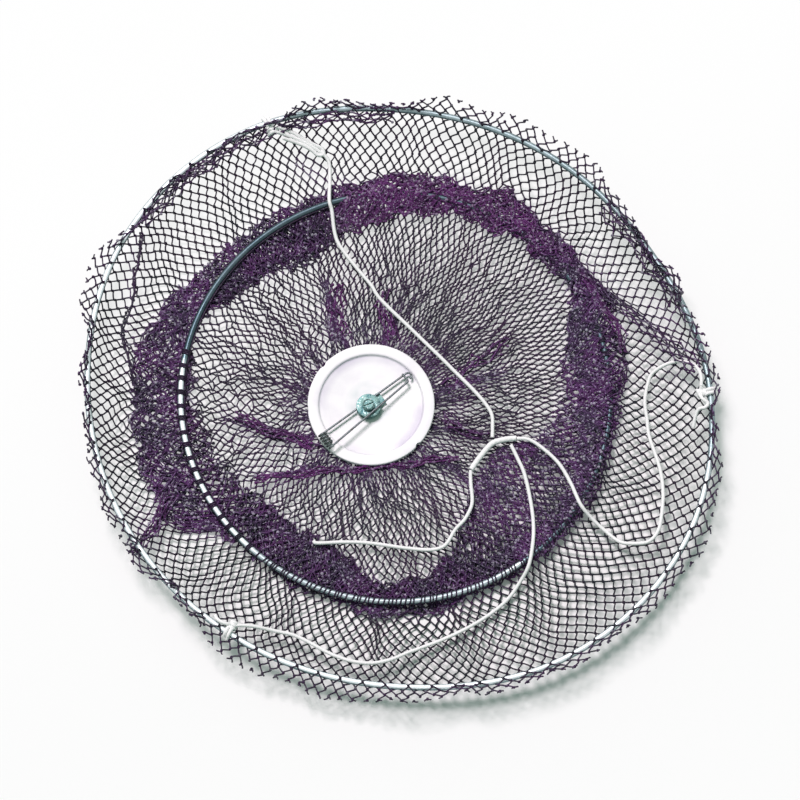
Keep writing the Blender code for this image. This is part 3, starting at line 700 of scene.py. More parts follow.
def waves(knots, seed, size, length):
    """Shifts by ten sine waves an axis, over random directions in plan, about size high and length
    long."""
    draw = np.random.default_rng(seed)
    shift = np.zeros_like(knots)
    for axis, height in enumerate(size):
        way, phase = draw.uniform(0, TURN, (2, 10))
        wave = TURN / draw.uniform(0.6 * length, 1.5 * length, 10)
        across = knots[..., :1] * np.cos(way) + knots[..., 1:2] * np.sin(way)
        shift[..., axis] = height / np.sqrt(5) * np.sin(wave * across + phase).sum(-1)
    return shift


def draw_in(knots, start, end, width, pull, lift):
    """Gathers netting towards the line from start to end, as a pleat does: a knot moves to the
    line by pull times its distance, times a bell curve of that distance over width. It returns
    that curve."""
    start, end = np.array(start), np.array(end)
    length = np.linalg.norm(end - start)
    way = (end - start) / length
    beside = np.array([-way[1], way[0]])
    along = (knots[..., :2] - start) @ way
    aside = (knots[..., :2] - start) @ beside
    near = smoothstep((along + 0.008) / 0.012) * smoothstep((length + 0.008 - along) / 0.012)
    near = near * np.exp(-((aside / width) ** 2))
    knots[..., :2] -= (pull * near * aside)[..., None] * beside
    knots[..., 2] += lift * near
    return near


def settle(knots, free):
    """Draws the free ends of each bar together, where it is longer than its twine, and keeps knots
    half a twine above the floor. In a round, a knot moves by 1.6 times the mean of what its bars
    ask of it."""
    for _ in range(SETTLE_ROUNDS):
        move = np.zeros_like(knots)
        pulls = np.zeros(free.shape)
        for end in next_knots(len(knots)):
            bar = knots[end] - knots[:-1]
            length = np.linalg.norm(bar, axis=-1)
            excess = np.maximum(length - BAR, 0) / np.maximum(free[:-1] + free[end], 1) / length
            move[:-1] += bar * (excess * free[:-1])[..., None]
            move[end] -= bar * (excess * free[end])[..., None]
            pulls[:-1] += 1
            pulls[end] += 1
        knots += 1.6 * move / np.maximum(pulls, 1)[..., None]
        knots[..., 2] = np.maximum(knots[..., 2], TWINE / 2)


# A lump of twine at each knot, an icosahedron.
GOLDEN = (1 + 5**0.5) / 2
LUMP_POINTS = unit(np.array([
    (-1, GOLDEN, 0), (1, GOLDEN, 0), (-1, -GOLDEN, 0), (1, -GOLDEN, 0), (0, -1, GOLDEN), (0, 1, GOLDEN),
    (0, -1, -GOLDEN), (0, 1, -GOLDEN), (GOLDEN, 0, -1), (GOLDEN, 0, 1), (-GOLDEN, 0, -1), (-GOLDEN, 0, 1),
]))
LUMP_FACES = np.array([
    (0, 11, 5), (0, 5, 1), (0, 1, 7), (0, 7, 10), (0, 10, 11), (1, 5, 9), (5, 11, 4), (11, 10, 2),
    (10, 7, 6), (7, 1, 8), (3, 9, 4), (3, 4, 2), (3, 2, 6), (3, 6, 8), (3, 8, 9), (4, 9, 5),
    (2, 4, 11), (6, 2, 10), (8, 6, 7), (9, 8, 1),
])


def both_bars(knots, depth):
    """The bars to the left and those to the right: where each starts and ends, and how deep in
    the folds. A knot takes its two twines side by side: a right-hand bar is set off at both its
    knots, along the left-hand bar, so the lines of the one family break at each knot."""
    left, right = next_knots(len(knots))
    bar = knots[left] - knots[:-1]
    set_off = bar / np.maximum(np.linalg.norm(bar, axis=-1, keepdims=True), BAR) * KNOT_OFFSET
    return (
        [knots[:-1].copy(), knots[left], depth[:-1], depth[left]],
        [knots[:-1] + set_off, knots[right] - set_off, depth[:-1], depth[right]],
    )


def tuck(route, across, start_width, end_width, crumple, depth, draw):
    """The bars and knots of a strip of netting along a route: rows a little less than a bar apart,
    every second one half a mesh aside, and every knot moved at random by crumple."""
    line = smooth_line(route, BAR * 0.9)
    beside = unit(np.cross(np.gradient(line, axis=0), (0, 0, 1)))
    sway = np.sin(np.arange(len(line)) * 0.9 + draw.uniform(0, TURN))
    line = line + beside * (crumple * 1.6 * sway)[:, None]
    width = np.linspace(start_width, end_width, len(line))[:, None]
    half = 0.5 * (np.arange(len(line)) % 2)[:, None]
    share = (np.arange(across)[None] + half) / across - 0.5
    knots = line[:, None] + beside[:, None] * (width * share)[..., None]
    knots = knots + draw.normal(0, crumple, knots.shape)
    row, column = np.meshgrid(np.arange(len(line) - 1), np.arange(across), indexing="ij")
    other = np.clip(column - 1 + 2 * (row % 2), 0, across - 1)
    starts = np.concatenate([knots[row, column].reshape(-1, 3)] * 2)
    ends = np.concatenate([knots[row + 1, column].reshape(-1, 3), knots[row + 1, other].reshape(-1, 3)])
    kept = np.concatenate([np.full(row.size, True), (other != column).ravel()])
    return starts[kept], ends[kept], knots.reshape(-1, 3), depth


def blend_to_rim(piece, knots):
    """Fits one straight way for netting between the hoops, whose share is fitted by least squares to
    each knot's own: its distance from the small hoop over the sum of its distances from the two.
    Nothing uses the fit; the piece's place is baked into its points."""
    aside = knots[:, :2] - UPPER_CENTRE
    hoop = UPPER_RADIUS + round_trip(UPPER_BENDS, np.arctan2(aside[:, 1], aside[:, 0]))
    high = hoop - 0.004 - np.hypot(*aside.T)
    low = np.hypot(*(knots[:, :2] - LOWER_CENTRE).T) - LOWER_RADIUS - 0.004
    share = low / (low + high)
    between = (share > 0) & (share < 1)
    spots, share = knots[between, :2], share[between]
    slope = np.linalg.lstsq(spots - spots.mean(0), share - share.mean(), rcond=0.3)[0]
    way = slope / (slope @ slope)
    start = spots.mean(0) - way * share.mean()
    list(start + way)
    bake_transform(piece)


def add_tucks(name, tucks, seed):
    """Tucks of one part of the net, as one piece, and their knots."""
    draw = np.random.default_rng(seed)
    strips = [tuck(*numbers, draw) for numbers in tucks]
    starts, ends, knots = (np.concatenate([strip[k] for strip in strips]) for k in range(3))
    bar_depth = np.concatenate([np.full(len(strip[0]), strip[3]) for strip in strips])
    knot_depth = np.concatenate([np.full(len(strip[2]), strip[3]) for strip in strips])
    return add_netting(name, starts, ends, bar_depth, bar_depth, knots, knot_depth, seed), knots


def add_netting(name, starts, ends, start_depth, end_depth, knots, knot_depth, seed):
    """Twine bars between their two ends, each bowed a little, and a lump at each knot. The depth
    in the folds goes with every point, and so does a number of the bar's own."""
    draw = np.random.default_rng(seed)
    count = len(starts)
    share = np.linspace(0, 1, BAR_RINGS)
    bow = draw.normal(0, 0.00018, (count, 1, 3)) * [1, 1, 0.5]
    path = starts[:, None] + (ends - starts)[:, None] * share[None, :, None]
    path = path + bow * np.sin(np.pi * share)[None, :, None]
    along = unit(ends - starts)
    side = unit(np.cross(along, (0.02, 0.01, 1)))
    top = np.cross(side, along)
    turn = TURN * np.arange(BAR_SIDES) / BAR_SIDES
    ring = np.cos(turn)[:, None] * side[:, None] + np.sin(turn)[:, None] * top[:, None]
    radius = TWINE / 2 * draw.uniform(0.88, 1.12, (count, 1, 1, 1))
    points = (path[:, :, None] + radius * ring[:, None]).reshape(-1, 3)
    size = BAR_RINGS * BAR_SIDES
    level, place = np.divmod(np.arange(size - BAR_SIDES), BAR_SIDES)
    corner_level = np.stack([level, level + 1, level + 1, level], 1)
    corner_place = np.stack([place, place, place + 1, place + 1], 1)
    quad = corner_level * BAR_SIDES + corner_place % BAR_SIDES
    first = size * np.arange(count)[:, None, None]
    quads = (first + quad).reshape(-1, 4)
    cap = np.stack([np.arange(BAR_SIDES), size - 1 - np.arange(BAR_SIDES)])
    caps = (first + cap).reshape(-1, BAR_SIDES)
    quad_uv = np.stack([corner_place / BAR_SIDES, corner_level * BAR / (BAR_RINGS - 1)], -1)
    quad_uv = np.tile(quad_uv, (count, 1, 1))
    cap_uv = np.zeros((len(caps), BAR_SIDES, 2))
    lump_size = KNOT * draw.uniform(0.85, 1.15, (len(knots), 1, 3)) * [1, 1, 0.85]
    lumps = (knots[:, None] + LUMP_POINTS * lump_size).reshape(-1, 3)
    first = len(points) + len(LUMP_POINTS) * np.arange(len(knots))[:, None, None]
    lump_faces = (first + LUMP_FACES).reshape(-1, 3)
    lump_uv = np.tile(LUMP_POINTS[LUMP_FACES][..., :2] * 0.5, (len(knots), 1, 1))
    made = add_piece(
        name, np.vstack([points, lumps]), [quads, caps, lump_faces], [quad_uv, cap_uv, lump_uv],
        net_finish,
    )
    depth = start_depth[:, None] + (end_depth - start_depth)[:, None] * share
    bar_own = draw.uniform(0, 0.93, count)
    # Knots draw own numbers past 0.9, so many of them take the painted highlight at the top of the
    # twine's tones.
    knot_own = draw.uniform(0.35, 1.12, len(knots))
    fold = [np.repeat(depth, BAR_SIDES), np.repeat(knot_depth, len(LUMP_POINTS))]
    own = [np.repeat(bar_own, size), np.repeat(knot_own, len(LUMP_POINTS))]
    give_values(made, fold=np.concatenate(fold), own=np.concatenate(own))
    return made


def add_part(name, bars, owners, number, knots, depth, seed):
    """One part of a net: the bars of either family whose owner it is, and its own knots."""
    left, right = ([part[owner == number] for part in side] for side, owner in zip(bars, owners))
    mine = [np.concatenate(pair) for pair in zip(left, right)]
    return add_netting(name, *mine, knots.reshape(-1, 3), depth.ravel(), seed)


net_finish, root, place = new_finish("netting_twine", Specular_IOR_Level=0.25)
fold = root.node("Attribute", {"attribute_name": "fold"}, output="Fac")
own = root.node("Attribute", {"attribute_name": "own"}, output="Fac")
lay = root.node("UVMap", {"uv_map": "lay"})
strand = lay.part(0) * 3.0 + lay.part(1) * 900.0
plies = strand.math("PINGPONG", strand, 0.5) * 2.0
tint = root.noise(place, 45.0, 2.0).ramp((0.35, 0), (0.65, 1))
dark = tint.blend((0.008, 0.012, 0.020), (0.022, 0.009, 0.030))
# The twine's tones by its own number, near-black to purple; the top stop, pale lilac, is a painted
# highlight.
purple = own.ramp(
    (0.0, (0.009, 0.005, 0.021)), (0.40, (0.031, 0.009, 0.053)), (0.70, (0.080, 0.023, 0.118)),
    (0.90, (0.165, 0.080, 0.230)), (1.0, (0.760, 0.720, 0.860)),
)
patches = root.noise(place, 75.0, 3.0).ramp((0.40, 0), (0.62, 1))
purple = ((1 - patches) * 0.35).blend(purple, (0.140, 0.030, 0.165))
purple = (patches * 0.50).blend(purple, (0.022, 0.022, 0.036))
magenta = ((fold - 1.0) * 1.6).clip() * own.ramp((0.0, 0.35), (1.0, 1))
purple = magenta.blend(purple, (0.185, 0.020, 0.195))
# Painted glints: fine pale lilac specks on the twine in the folds.
painted_glints = root.noise(place, 950.0, 1.0).ramp((0.59, 0), (0.67, 1))
shine = (painted_glints * 0.45).blend(purple, (0.68, 0.61, 0.82))
# Single-layer twine keeps its own near-black; in the folds it is painted a brighter purple, magenta at
# the deepest, for light scattered through the stacked layers.
colour = fold.clip().blend(dark, shine)
connect(
    root,
    # Painted shade: the grooves between the plies are painted darker.
    Base_Color=(plies * 0.35).blend(colour, (0.004, 0.003, 0.006)),
    Roughness=0.42 + plies * 0.25,
    Normal=bump(root, 1 - plies, 0.6, 0.00012),
)

# Every row waves and crumples but the one on the large hoop and the laced one.
knots, depth = wall_knots()
free = np.ones(depth.shape)
free[[SKIRT_ROWS, -1]] = 0
jitter = np.random.default_rng(3).normal(size=knots.shape) * [1, 1, 0.4]
knots += free[..., None] * waves(knots, 5, (0.0012, 0.0012, 0.0004), 0.030)
knots += (free * (0.35 + depth))[..., None] * waves(knots, 6, (0.0010, 0.0010, 0.0002), 0.008)
knots += (free * (0.00028 + 0.0009 * depth))[..., None] * jitter
# At the back the depth goes above 1, where the finish turns magenta.
knot_angle = np.arctan2(knots[..., 1], knots[..., 0])
depth *= 1 + 0.28 * smoothstep((knot_angle - 0.6) / 0.4) * smoothstep((2.1 - knot_angle) / 0.4)
for pleat in WALL_PLEATS:
    near = draw_in(knots, *pleat)
    near[: SKIRT_ROWS + 1] = 0
    depth = np.maximum(depth, 0.8 * near)
reach = round_trip(SKIRT_REACH, TURN * np.arange(COLUMNS) / COLUMNS)
skirt_depth = 0.25 + 0.6 * (1 - np.clip(np.abs(reach) / 0.009, 0, 1))
depth[:SKIRT_ROWS] = np.maximum(depth[:SKIRT_ROWS], skirt_depth)
settle(knots, free)
# The hoop runs through the meshes of its row: every second knot lies over the wire, and the rest
# under it.
knots[SKIRT_ROWS, :, 2] += np.where(np.arange(COLUMNS) % 2, 1, -1) * (WIRE + TWINE) / 2

# The cut edge: its outermost bars end in stubs, and some bars of its first two rows are missing.
bars = both_bars(knots, depth)
cut_draw = np.random.default_rng(11)
chance = cut_draw.uniform(size=(2, COLUMNS))
stub = np.clip(cut_draw.normal(STUB_SHARE, 0.12, (2, COLUMNS, 1)), 0.2, 0.8)
width = COLUMNS // SECTORS
to_left, _ = next_knots(len(knots))
owners = [to_left[1] // width, np.tile(np.arange(COLUMNS) // width, (len(knots) - 1, 1))]
for side, (far, near, _, _) in enumerate(bars):
    far[0] = near[0] + (far[0] - near[0]) * stub[side]
    owners[side][0, chance[side] > 0.92] = -1
    owners[side][1, chance[side] < 0.33] = -1

for number, numbers in enumerate(WALL_TUCKS):
    piece, tuck_knots = add_tucks(f"wall_tuck_{number + 1}", [numbers], 31 + number)
    blend_to_rim(piece, tuck_knots)
hems = [
    (upper_point(np.radians(range(92, 152, 6)), 0.0042, 0.0128), 3, 0.0060, 0.0070, 0.00055, 0.7),
    (upper_point(np.radians(range(18, 48, 5)), 0.0030, 0.0140), 4, 0.0080, 0.0090, 0.00080, 0.6),
]
turned_edge, _ = add_tucks("wall_turned_edge", hems, 30)
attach(turned_edge, "rim")
for sector in range(SECTORS):
    mine = slice(sector * width, (sector + 1) * width)
    name = f"wall_netting_{sector + 1:02d}"
    piece = add_part(name, bars, owners, sector, knots[1:, mine], depth[1:, mine], 100 + sector)
    if sector == 0:
        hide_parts("wall_net", "slack_net")
    blend_to_rim(piece, knots[:, mine].reshape(-1, 3))


# The floor of the net: the same mesh, laced to the small hoop at its edge and gathered under the
# bait dish, where the backing disc clamps it. It lies in pleats, pulled together at the dish.
FLOOR_ROWS = 25
FLOOR_INNER = 0.0213
FLOOR_PIECES = 3
UNDER_DISH_RADIUS = 0.0325
UNDER_DISH_HEIGHT = 0.0021
DISH_CENTRE = np.array([-0.0132, -0.0042])
HUB_CENTRE = np.array([-0.0144, -0.0056])
# Pleats at the dish: direction and half width in degrees, how far they close, and their length.
FLOOR_PLEATS = [
    (112, 8, 1.1, 0.9), (78, 7, 0.9, 0.8), (137, 6, 0.5, 0.7), (37, 8, 0.7, 0.6), (-18, 7, 1.0, 0.8),
    (203, 6, 0.7, 1.0), (222, 6, 0.7, 1.2), (-64, 7, 0.45, 1.0), (-95, 8, 0.3, 0.8), (165, 5, 0.4, 0.6),
    (5, 6, 0.8, 0.8), (-40, 6, 0.7, 1.0), (58, 5, 0.6, 0.6), (-125, 6, 0.35, 0.9),
]
FLOOR_CREASES = [
    ((-0.0735, -0.0400), (0.0105, -0.0340), 0.006, 0.85, 0.0012),
    ((-0.0826, -0.0110), (-0.0397, -0.0236), 0.008, 0.70, 0.0008),
    ((-0.0811, -0.0516), (-0.0420, -0.0340), 0.004, 0.5, 0.0008),
    ((0.0180, -0.0300), (0.0420, -0.0500), 0.005, 0.4, 0.0006),
    ((-0.0353, 0.0578), (-0.0305, 0.0276), 0.007, 0.80, 0.0008),
    ((0.0487, 0.0124), (0.0175, 0.0023), 0.006, 0.60, 0.0006),
]
FLOOR_TUCKS = [
    ([(-0.0680, -0.0417, 0.0042), (-0.0470, -0.0392, 0.0040), (-0.0257, -0.0367, 0.0038),
      (0.0103, -0.0330, 0.0036), (0.0280, -0.0305, 0.0036)], 4, 0.0042, 0.0026, 0.00055, 1.35),
    ([(-0.0776, -0.0114, 0.0042), (-0.0584, -0.0180, 0.0040), (-0.0411, -0.0250, 0.0036)],
     5, 0.0060, 0.0040, 0.00075, 1.3),
    ([(-0.0296, 0.0560, 0.0034), (-0.0296, 0.0300, 0.0030)], 5, 0.0085, 0.0070, 0.00080, 1.35),
    ([(0.0510, 0.0295, 0.0036), (0.0223, 0.0069, 0.0030)], 3, 0.0080, 0.0050, 0.00090, 1.15),
    ([(-0.0085, 0.0520, 0.0034), (-0.0040, 0.0300, 0.0030)], 4, 0.0080, 0.0060, 0.00080, 1.3),
    ([(0.0200, -0.0105, 0.0030), (0.0400, -0.0215, 0.0036)], 3, 0.0060, 0.0050, 0.00080, 1.2),
]


def floor_knots():
    """Places of the floor's knots, in rings from the small hoop to the hub, closest together at 50
    degrees, and closed up round each pleat by pull times the angle from it, times a bell curve of
    that angle over its width."""
    row = np.arange(FLOOR_ROWS + 1)
    share = (row / FLOOR_ROWS)[:, None]
    odd = (row + SKIRT_ROWS + WALL_ROWS)[:, None] % 2
    angle = TURN * (np.arange(COLUMNS)[None] + 0.5 * odd) / COLUMNS
    angle = angle - 0.15 * np.sin(angle - np.radians(50))
    centre = LOWER_CENTRE + (HUB_CENTRE - LOWER_CENTRE) * share
    radius = LOWER_RADIUS - 0.001 + (FLOOR_INNER - LOWER_RADIUS + 0.001) * share
    ridge = np.zeros_like(angle)
    shift = np.zeros_like(angle)
    for at, width, pull, reach in FLOOR_PLEATS:
        off = np.mod(angle - np.radians(at) + np.pi, TURN) - np.pi
        grown = smoothstep((share - (0.92 - 0.5 * reach)) / (0.46 * reach))
        grown = grown * np.exp(-((off / np.radians(width)) ** 2))
        shift -= pull * grown * off
        ridge += pull * grown
    x = centre[:, :1] + radius * np.cos(angle + shift)
    y = centre[:, 1:] + radius * np.sin(angle + shift)
    z = floor_height(radius) + 0.0010 * smoothstep((0.045 - radius) / 0.015)
    z = z + 0.0006 * np.minimum(ridge, 1) * smoothstep((radius - 0.030) / 0.01)
    return np.stack([x, y, z], -1), np.clip(ridge, 0, 1)


floor, ridge = floor_knots()
free = np.ones(ridge.shape)
free[[0, -1]] = 0
at_left = smoothstep((-0.018 - floor[..., 0]) / 0.03) * smoothstep((floor[..., 1] + 0.045) / 0.02)
crumpled = 0.40 + 0.20 * at_left
floor += (free * crumpled)[..., None] * waves(floor, 15, (0.0015, 0.0015, 0.0005), 0.024)
floor += (free * crumpled)[..., None] * waves(floor, 16, (0.0010, 0.0010, 0.0003), 0.007)
floor += free[..., None] * 0.00034 * np.random.default_rng(4).normal(size=floor.shape) * [1, 1, 0.4]
for crease in FLOOR_CREASES:
    ridge = np.maximum(ridge, draw_in(floor, *crease))
settle(floor, free)
# Under the dish the netting is held down. It counts as folded close round the dish, and where the
# wall's slack reaches in from the small hoop.
from_dish = np.linalg.norm(floor[..., :2] - DISH_CENTRE, axis=-1)
under_dish = from_dish < UNDER_DISH_RADIUS
floor[under_dish, 2] = np.minimum(floor[under_dish, 2], UNDER_DISH_HEIGHT)
ridge = np.maximum(0.22 + 0.78 * ridge, 0.60 * smoothstep((0.058 - from_dish) / 0.022))
around = np.arctan2(floor[..., 1] - LOWER_CENTRE[1], floor[..., 0] - LOWER_CENTRE[0])
from_hoop = LOWER_RADIUS - np.linalg.norm(floor[..., :2] - LOWER_CENTRE, axis=-1)
over_slack = round_trip(FOLD_INSIDE, around) - from_hoop
ridge = np.maximum(ridge, 0.8 * smoothstep((over_slack + 0.002) / 0.005))

floor_tucks, _ = add_tucks("floor_tucks", FLOOR_TUCKS, 33)
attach(floor_tucks, "base")
bars = both_bars(floor, ridge)
width = COLUMNS // FLOOR_PIECES
owners = [np.tile(np.arange(COLUMNS) // width, (FLOOR_ROWS, 1))] * 2
for number in range(FLOOR_PIECES):
    mine = slice(number * width, (number + 1) * width)
    name = f"floor_netting_{number + 1}"
    piece = add_part(name, bars, owners, number, floor[:, mine], ridge[:, mine], 200 + number)
    if number == 0:
        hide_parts("floor_net")
    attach(piece, "base")


# The lacing: one dark twine round the small hoop, three close turns at every mesh or two, and then
# along the wire to the next, or along the front an even spiral. It holds the wall and the floor.
LACE = 0.0008
LACE_PITCH = 0.0067
LACE_WIDTH = 0.0024
LACE_TURNS = 3
LACE_TURN_STEPS = 12
LACE_REST_STEPS = 20
BARE_FROM = np.radians(100)
BARE_TO = np.radians(165)
EVEN_FROM = np.radians(228)


def lacing():
    """A twine along the small hoop at the wire's surface: its turn round the wire rises by three
    at each wrap, in a step as wide as the wrap, and stays on the wire's inner side between, and
    all along the part where it runs bare. Past the last angle it rises evenly."""
    draw = np.random.default_rng(32)
    total = TURN * LOWER_RADIUS
    wraps = round(total / LACE_PITCH)
    wrap_steps = LACE_TURN_STEPS * LACE_TURNS
    steps = wrap_steps + LACE_REST_STEPS
    width = LACE_WIDTH / (total / wraps)
    step = np.arange(steps)
    resting = width + (step - wrap_steps) / (steps - wrap_steps) * (1 - width)
    share = np.where(step < wrap_steps, step / wrap_steps * width, resting)
    start = np.arange(wraps)[:, None] + draw.uniform(-0.12, 0.12, (wraps, 1))
    following = np.append(start[1:, 0], start[0, 0] + wraps)[:, None]
    angle = TURN * (start + (following - start) * share[None]).ravel() / wraps
    wrap_angle = TURN * np.arange(wraps) / wraps
    turned = LACE_TURNS * ((wrap_angle < BARE_FROM) | (wrap_angle > BARE_TO))
    even = share + draw.uniform(-0.16, 0.16, (wraps, 1)) * np.sin(TURN * share)
    turning = np.where(wrap_angle[:, None] > EVEN_FROM, even, np.clip(share / width, 0, 1))
    phase = (np.cumsum(turned) - turned)[:, None] + turned[:, None] * turning
    phase = TURN * phase.ravel() + np.pi
    tangent = unit(lower_point(angle + 0.001) - lower_point(angle - 0.001))
    outward = unit(np.cross(tangent, (0, 0, 1)))
    reach = WIRE / 2 + LACE / 2 - 0.00004
    off_wire = reach * (np.cos(phase)[:, None] * outward + np.sin(phase)[:, None] * [0, 0, 1])
    return lower_point(angle) + off_wire, off_wire


line, off_wire = lacing()
lace = add_tube("small_hoop_lacing", line, LACE / 2, 5, net_finish, up=off_wire)
give_values(lace, fold=0.3, own=0.3)
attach(lace, "base")


# The bait dish: turned from white plastic sheet, with a shallow recess inside a raised rim, three
# nicks in its edge and the fine rings of the tool. The backing disc under the net is the same.
DISH_RADIUS = 0.0305
DISH_RIM = 0.0052
DISH_BOTTOM = 0.0030
DISH_RECESS = 0.0042
DISH_TOP = 0.0055
DISH_SIDES = 240
DISH_ROUNDING = 0.0006
# Nicks in the edge: direction in degrees, half width in degrees, and depth.
DISH_NICKS = [(139, 2.2, 0.0009), (-42, 2.4, 0.0010), (184, 3.0, 0.0004)]


def rounded(corners, radius, steps=5):
    """A profile's points, with each corner but the first and last replaced by points on the
    parabola between the places that lie radius before and after it."""
    corners = np.array(corners, float)
    parts = [corners[:1]]
    for before, corner, after in zip(corners, corners[1:], corners[2:]):
        a = corner + unit(before - corner) * min(radius, 0.45 * np.linalg.norm(before - corner))
        b = corner + unit(after - corner) * min(radius, 0.45 * np.linalg.norm(after - corner))
        t = np.linspace(0, 1, steps)[:, None]
        parts.append(a * (1 - t) ** 2 + 2 * corner * t * (1 - t) + b * t**2)
    return np.vstack([*parts, corners[-1:]])


def turned_piece(name, profile, centre, sides, finish, cut=None):
    """A profile of radius and height turned about a vertical axis through the centre. It closes
    on the axis where it starts and ends there, and else on itself. cut lessens the radius."""
    solid = profile[0, 0] == 0
    rings = profile[1:-1] if solid else profile
    angle = TURN * np.arange(sides) / sides
    radius = rings[:, :1] * np.ones(sides)
    if cut is not None:
        radius = np.minimum(radius, cut(angle)[None])
    grid = circle_point(centre, radius, angle[None], rings[:, 1:])
    along = length_along(np.vstack([rings, rings[:1]]))
    points = grid.reshape(-1, 3)
    if solid:
        points = np.vstack([points, (*centre, profile[0, 1]), (*centre, profile[-1, 1])])
    faces, uv = grid_faces(len(rings), sides, along, closed=not solid)
    return add_piece(name, points, faces, uv, finish, sharp=np.radians(40))


plastic_finish, root, place = new_finish("turned_white_plastic", IOR=1.49)
centring = {"Vector": place, "Location": (*-DISH_CENTRE, 0.0)}
centred = root.node("Mapping", {"vector_type": "POINT"}, centring)
radius = (centred.part(0) * centred.part(0) + centred.part(1) * centred.part(1)) ** 0.5
rings = root.noise(root.node("CombineXYZ", sockets={"X": radius * 900.0}), 1.0, 3.0)
stains = root.noise(place, 70.0, 4.0).ramp((0.50, 0), (0.78, 1))
# Painted shade: a lilac-grey ring inside the rim, where the recess floor meets its wall, patchy by noise.
corner = (radius / DISH_RADIUS).ramp((0.66, 0), (0.80, 1), (0.84, 0.3), (0.86, 0))
corner = corner * root.noise(place, 38.0, 2.0).ramp((0.38, 0.1), (0.62, 1))
# Painted shadow: a blue-green patch round the middle of the dish, about the hub and the clip, mottled by
# noise.
green_mottle = (radius / DISH_RADIUS).ramp((0.20, 1), (0.44, 0))
green_mottle = green_mottle * root.noise(place, 90.0, 2.0).ramp((0.4, 0), (0.6, 1))
scratches = root.noise(place, 500.0, 3.0)
plastic_colour = (rings * 0.12 + stains * 0.38).blend((0.94, 0.93, 0.945), (0.70, 0.66, 0.76))
plastic_colour = (corner * 0.62).blend(plastic_colour, (0.46, 0.41, 0.56))
plastic_colour = (green_mottle * 0.60).blend(plastic_colour, (0.42, 0.56, 0.56))
connect(
    root,
    Base_Color=plastic_colour,
    Roughness=0.36 + rings * 0.12 + stains * 0.1,
    Normal=bump(root, rings * 0.8 + scratches * 0.2, 0.30, 0.00016),
)


def dress(node, finish):
    """Gives a CAD solid that stays its finish."""
    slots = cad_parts[node].data.materials
    slots.clear()
    slots.append(finish)


def dish_edge(angle):
    """The dish's outer radius: less by each nick's depth, times a bell curve of the angle."""
    radius = np.full_like(angle, DISH_RADIUS)
    for at, width, nick in DISH_NICKS:
        off = np.degrees(np.mod(angle - np.radians(at) + np.pi, TURN) - np.pi)
        radius -= nick * np.exp(-((off / width) ** 4))
    return radius


rim_inner = DISH_RADIUS - DISH_RIM
dish_profile = rounded([
    (0, DISH_BOTTOM), (DISH_RADIUS, DISH_BOTTOM), (DISH_RADIUS, DISH_TOP), (rim_inner, DISH_TOP),
    (rim_inner - 0.0005, DISH_RECESS), (0, DISH_RECESS),
], DISH_ROUNDING)
dish = turned_piece("white_bait_dish", dish_profile, DISH_CENTRE, DISH_SIDES, plastic_finish, dish_edge)
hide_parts("bait_dish")
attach(dish, "base")
dress("backing_disc", plastic_finish)


# The hub: a zinc-plated screw through dish, net and backing disc, with a washer under its head, a
# washer under the clip's plate, and a nut below. Damp has turned the zinc a mottled green.
WASHER_RADIUS = 0.0059
WASHER_BORE = 0.0018
WASHER_THICKNESS = 0.0006
WASHER_ROUNDING = 0.00018
WASHER_SIDES = 72
LOWER_WASHER_TOP = 0.0051
UPPER_WASHER_TOP = 0.0081

zinc_finish, root, place = new_finish("mottled_zinc", Specular_IOR_Level=0.5)
green_mottle = root.noise(place, 420.0, 5.0, 0.62).ramp((0.40, 0), (0.66, 1))
pits = root.noise(place, 2200.0, 2.0).ramp((0.56, 0), (0.72, 1))
zinc_colour = green_mottle.blend((0.030, 0.085, 0.090), (0.20, 0.36, 0.33))
zinc_colour = (pits * 0.6).blend(zinc_colour, (0.02, 0.04, 0.05))
# Painted highlights: small pale sparkles over the zinc.
painted_sparkle = root.noise(place, 1300.0, 2.0).ramp((0.60, 0), (0.70, 1))
zinc_colour = (painted_sparkle * 0.6).blend(zinc_colour, (0.72, 0.84, 0.82))
connect(
    root,
    Base_Color=zinc_colour,
    Metallic=0.85 - green_mottle * 0.45,
    Roughness=0.34 + green_mottle * 0.26,
    Normal=bump(root, green_mottle - pits, 0.35, 0.00012),
)

for name, node, top in (
    ("hub_washer_lower", "lower_washer", LOWER_WASHER_TOP),
    ("hub_washer_upper", "upper_washer", UPPER_WASHER_TOP),
):
    bottom = top - WASHER_THICKNESS
    seam = (WASHER_BORE, (top + bottom) / 2)
    loop = rounded([
        seam, (WASHER_BORE, bottom), (WASHER_RADIUS, bottom), (WASHER_RADIUS, top), (WASHER_BORE, top),
        seam,
    ], WASHER_ROUNDING, 3)[:-1]
    washer = turned_piece(name, loop, HUB_CENTRE, WASHER_SIDES, zinc_finish)
    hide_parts(node)
    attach(washer, "base")
for node in ("hub_screw", "hub_nut", "clip_plate"):
    dress(node, zinc_finish)


# The bait clip: one piece of 1 mm spring wire, hooked at its tip and coiled at its back end, with
# a sprung arm that crosses under the hook. The screw holds it on its small plate.
CLIP_DIRECTION = np.radians(37.2)
CLIP_WIRE = 0.001
CLIP_HEIGHT = 0.0067
CLIP_ASIDE = -0.0023
CLIP_TIP = 0.0243
CLIP_HOOK_RADIUS = 0.0016
COIL_BACK = 0.0265
COIL_RADIUS = 0.0017
CLIP_COIL_TURNS = 4.5
COIL_PITCH = 0.0016
ARM_ASIDE = 0.00626
ARM_HEIGHT = 0.00815
ARM_BAR_ALONG = 0.0225
ARM_BAR_START = 0.0019
CLIP_STEP = 0.00035


def clip_place(along, aside, height):
    """Points given along the clip from the hub to its tip, to its right, and above the floor."""
    way = np.array([np.cos(CLIP_DIRECTION), np.sin(CLIP_DIRECTION)])
    right_way = np.array([way[1], -way[0]])
    flat = HUB_CENTRE + np.multiply.outer(along, way) + np.multiply.outer(aside, right_way)
    return np.column_stack([flat, np.broadcast_to(height, len(flat))])


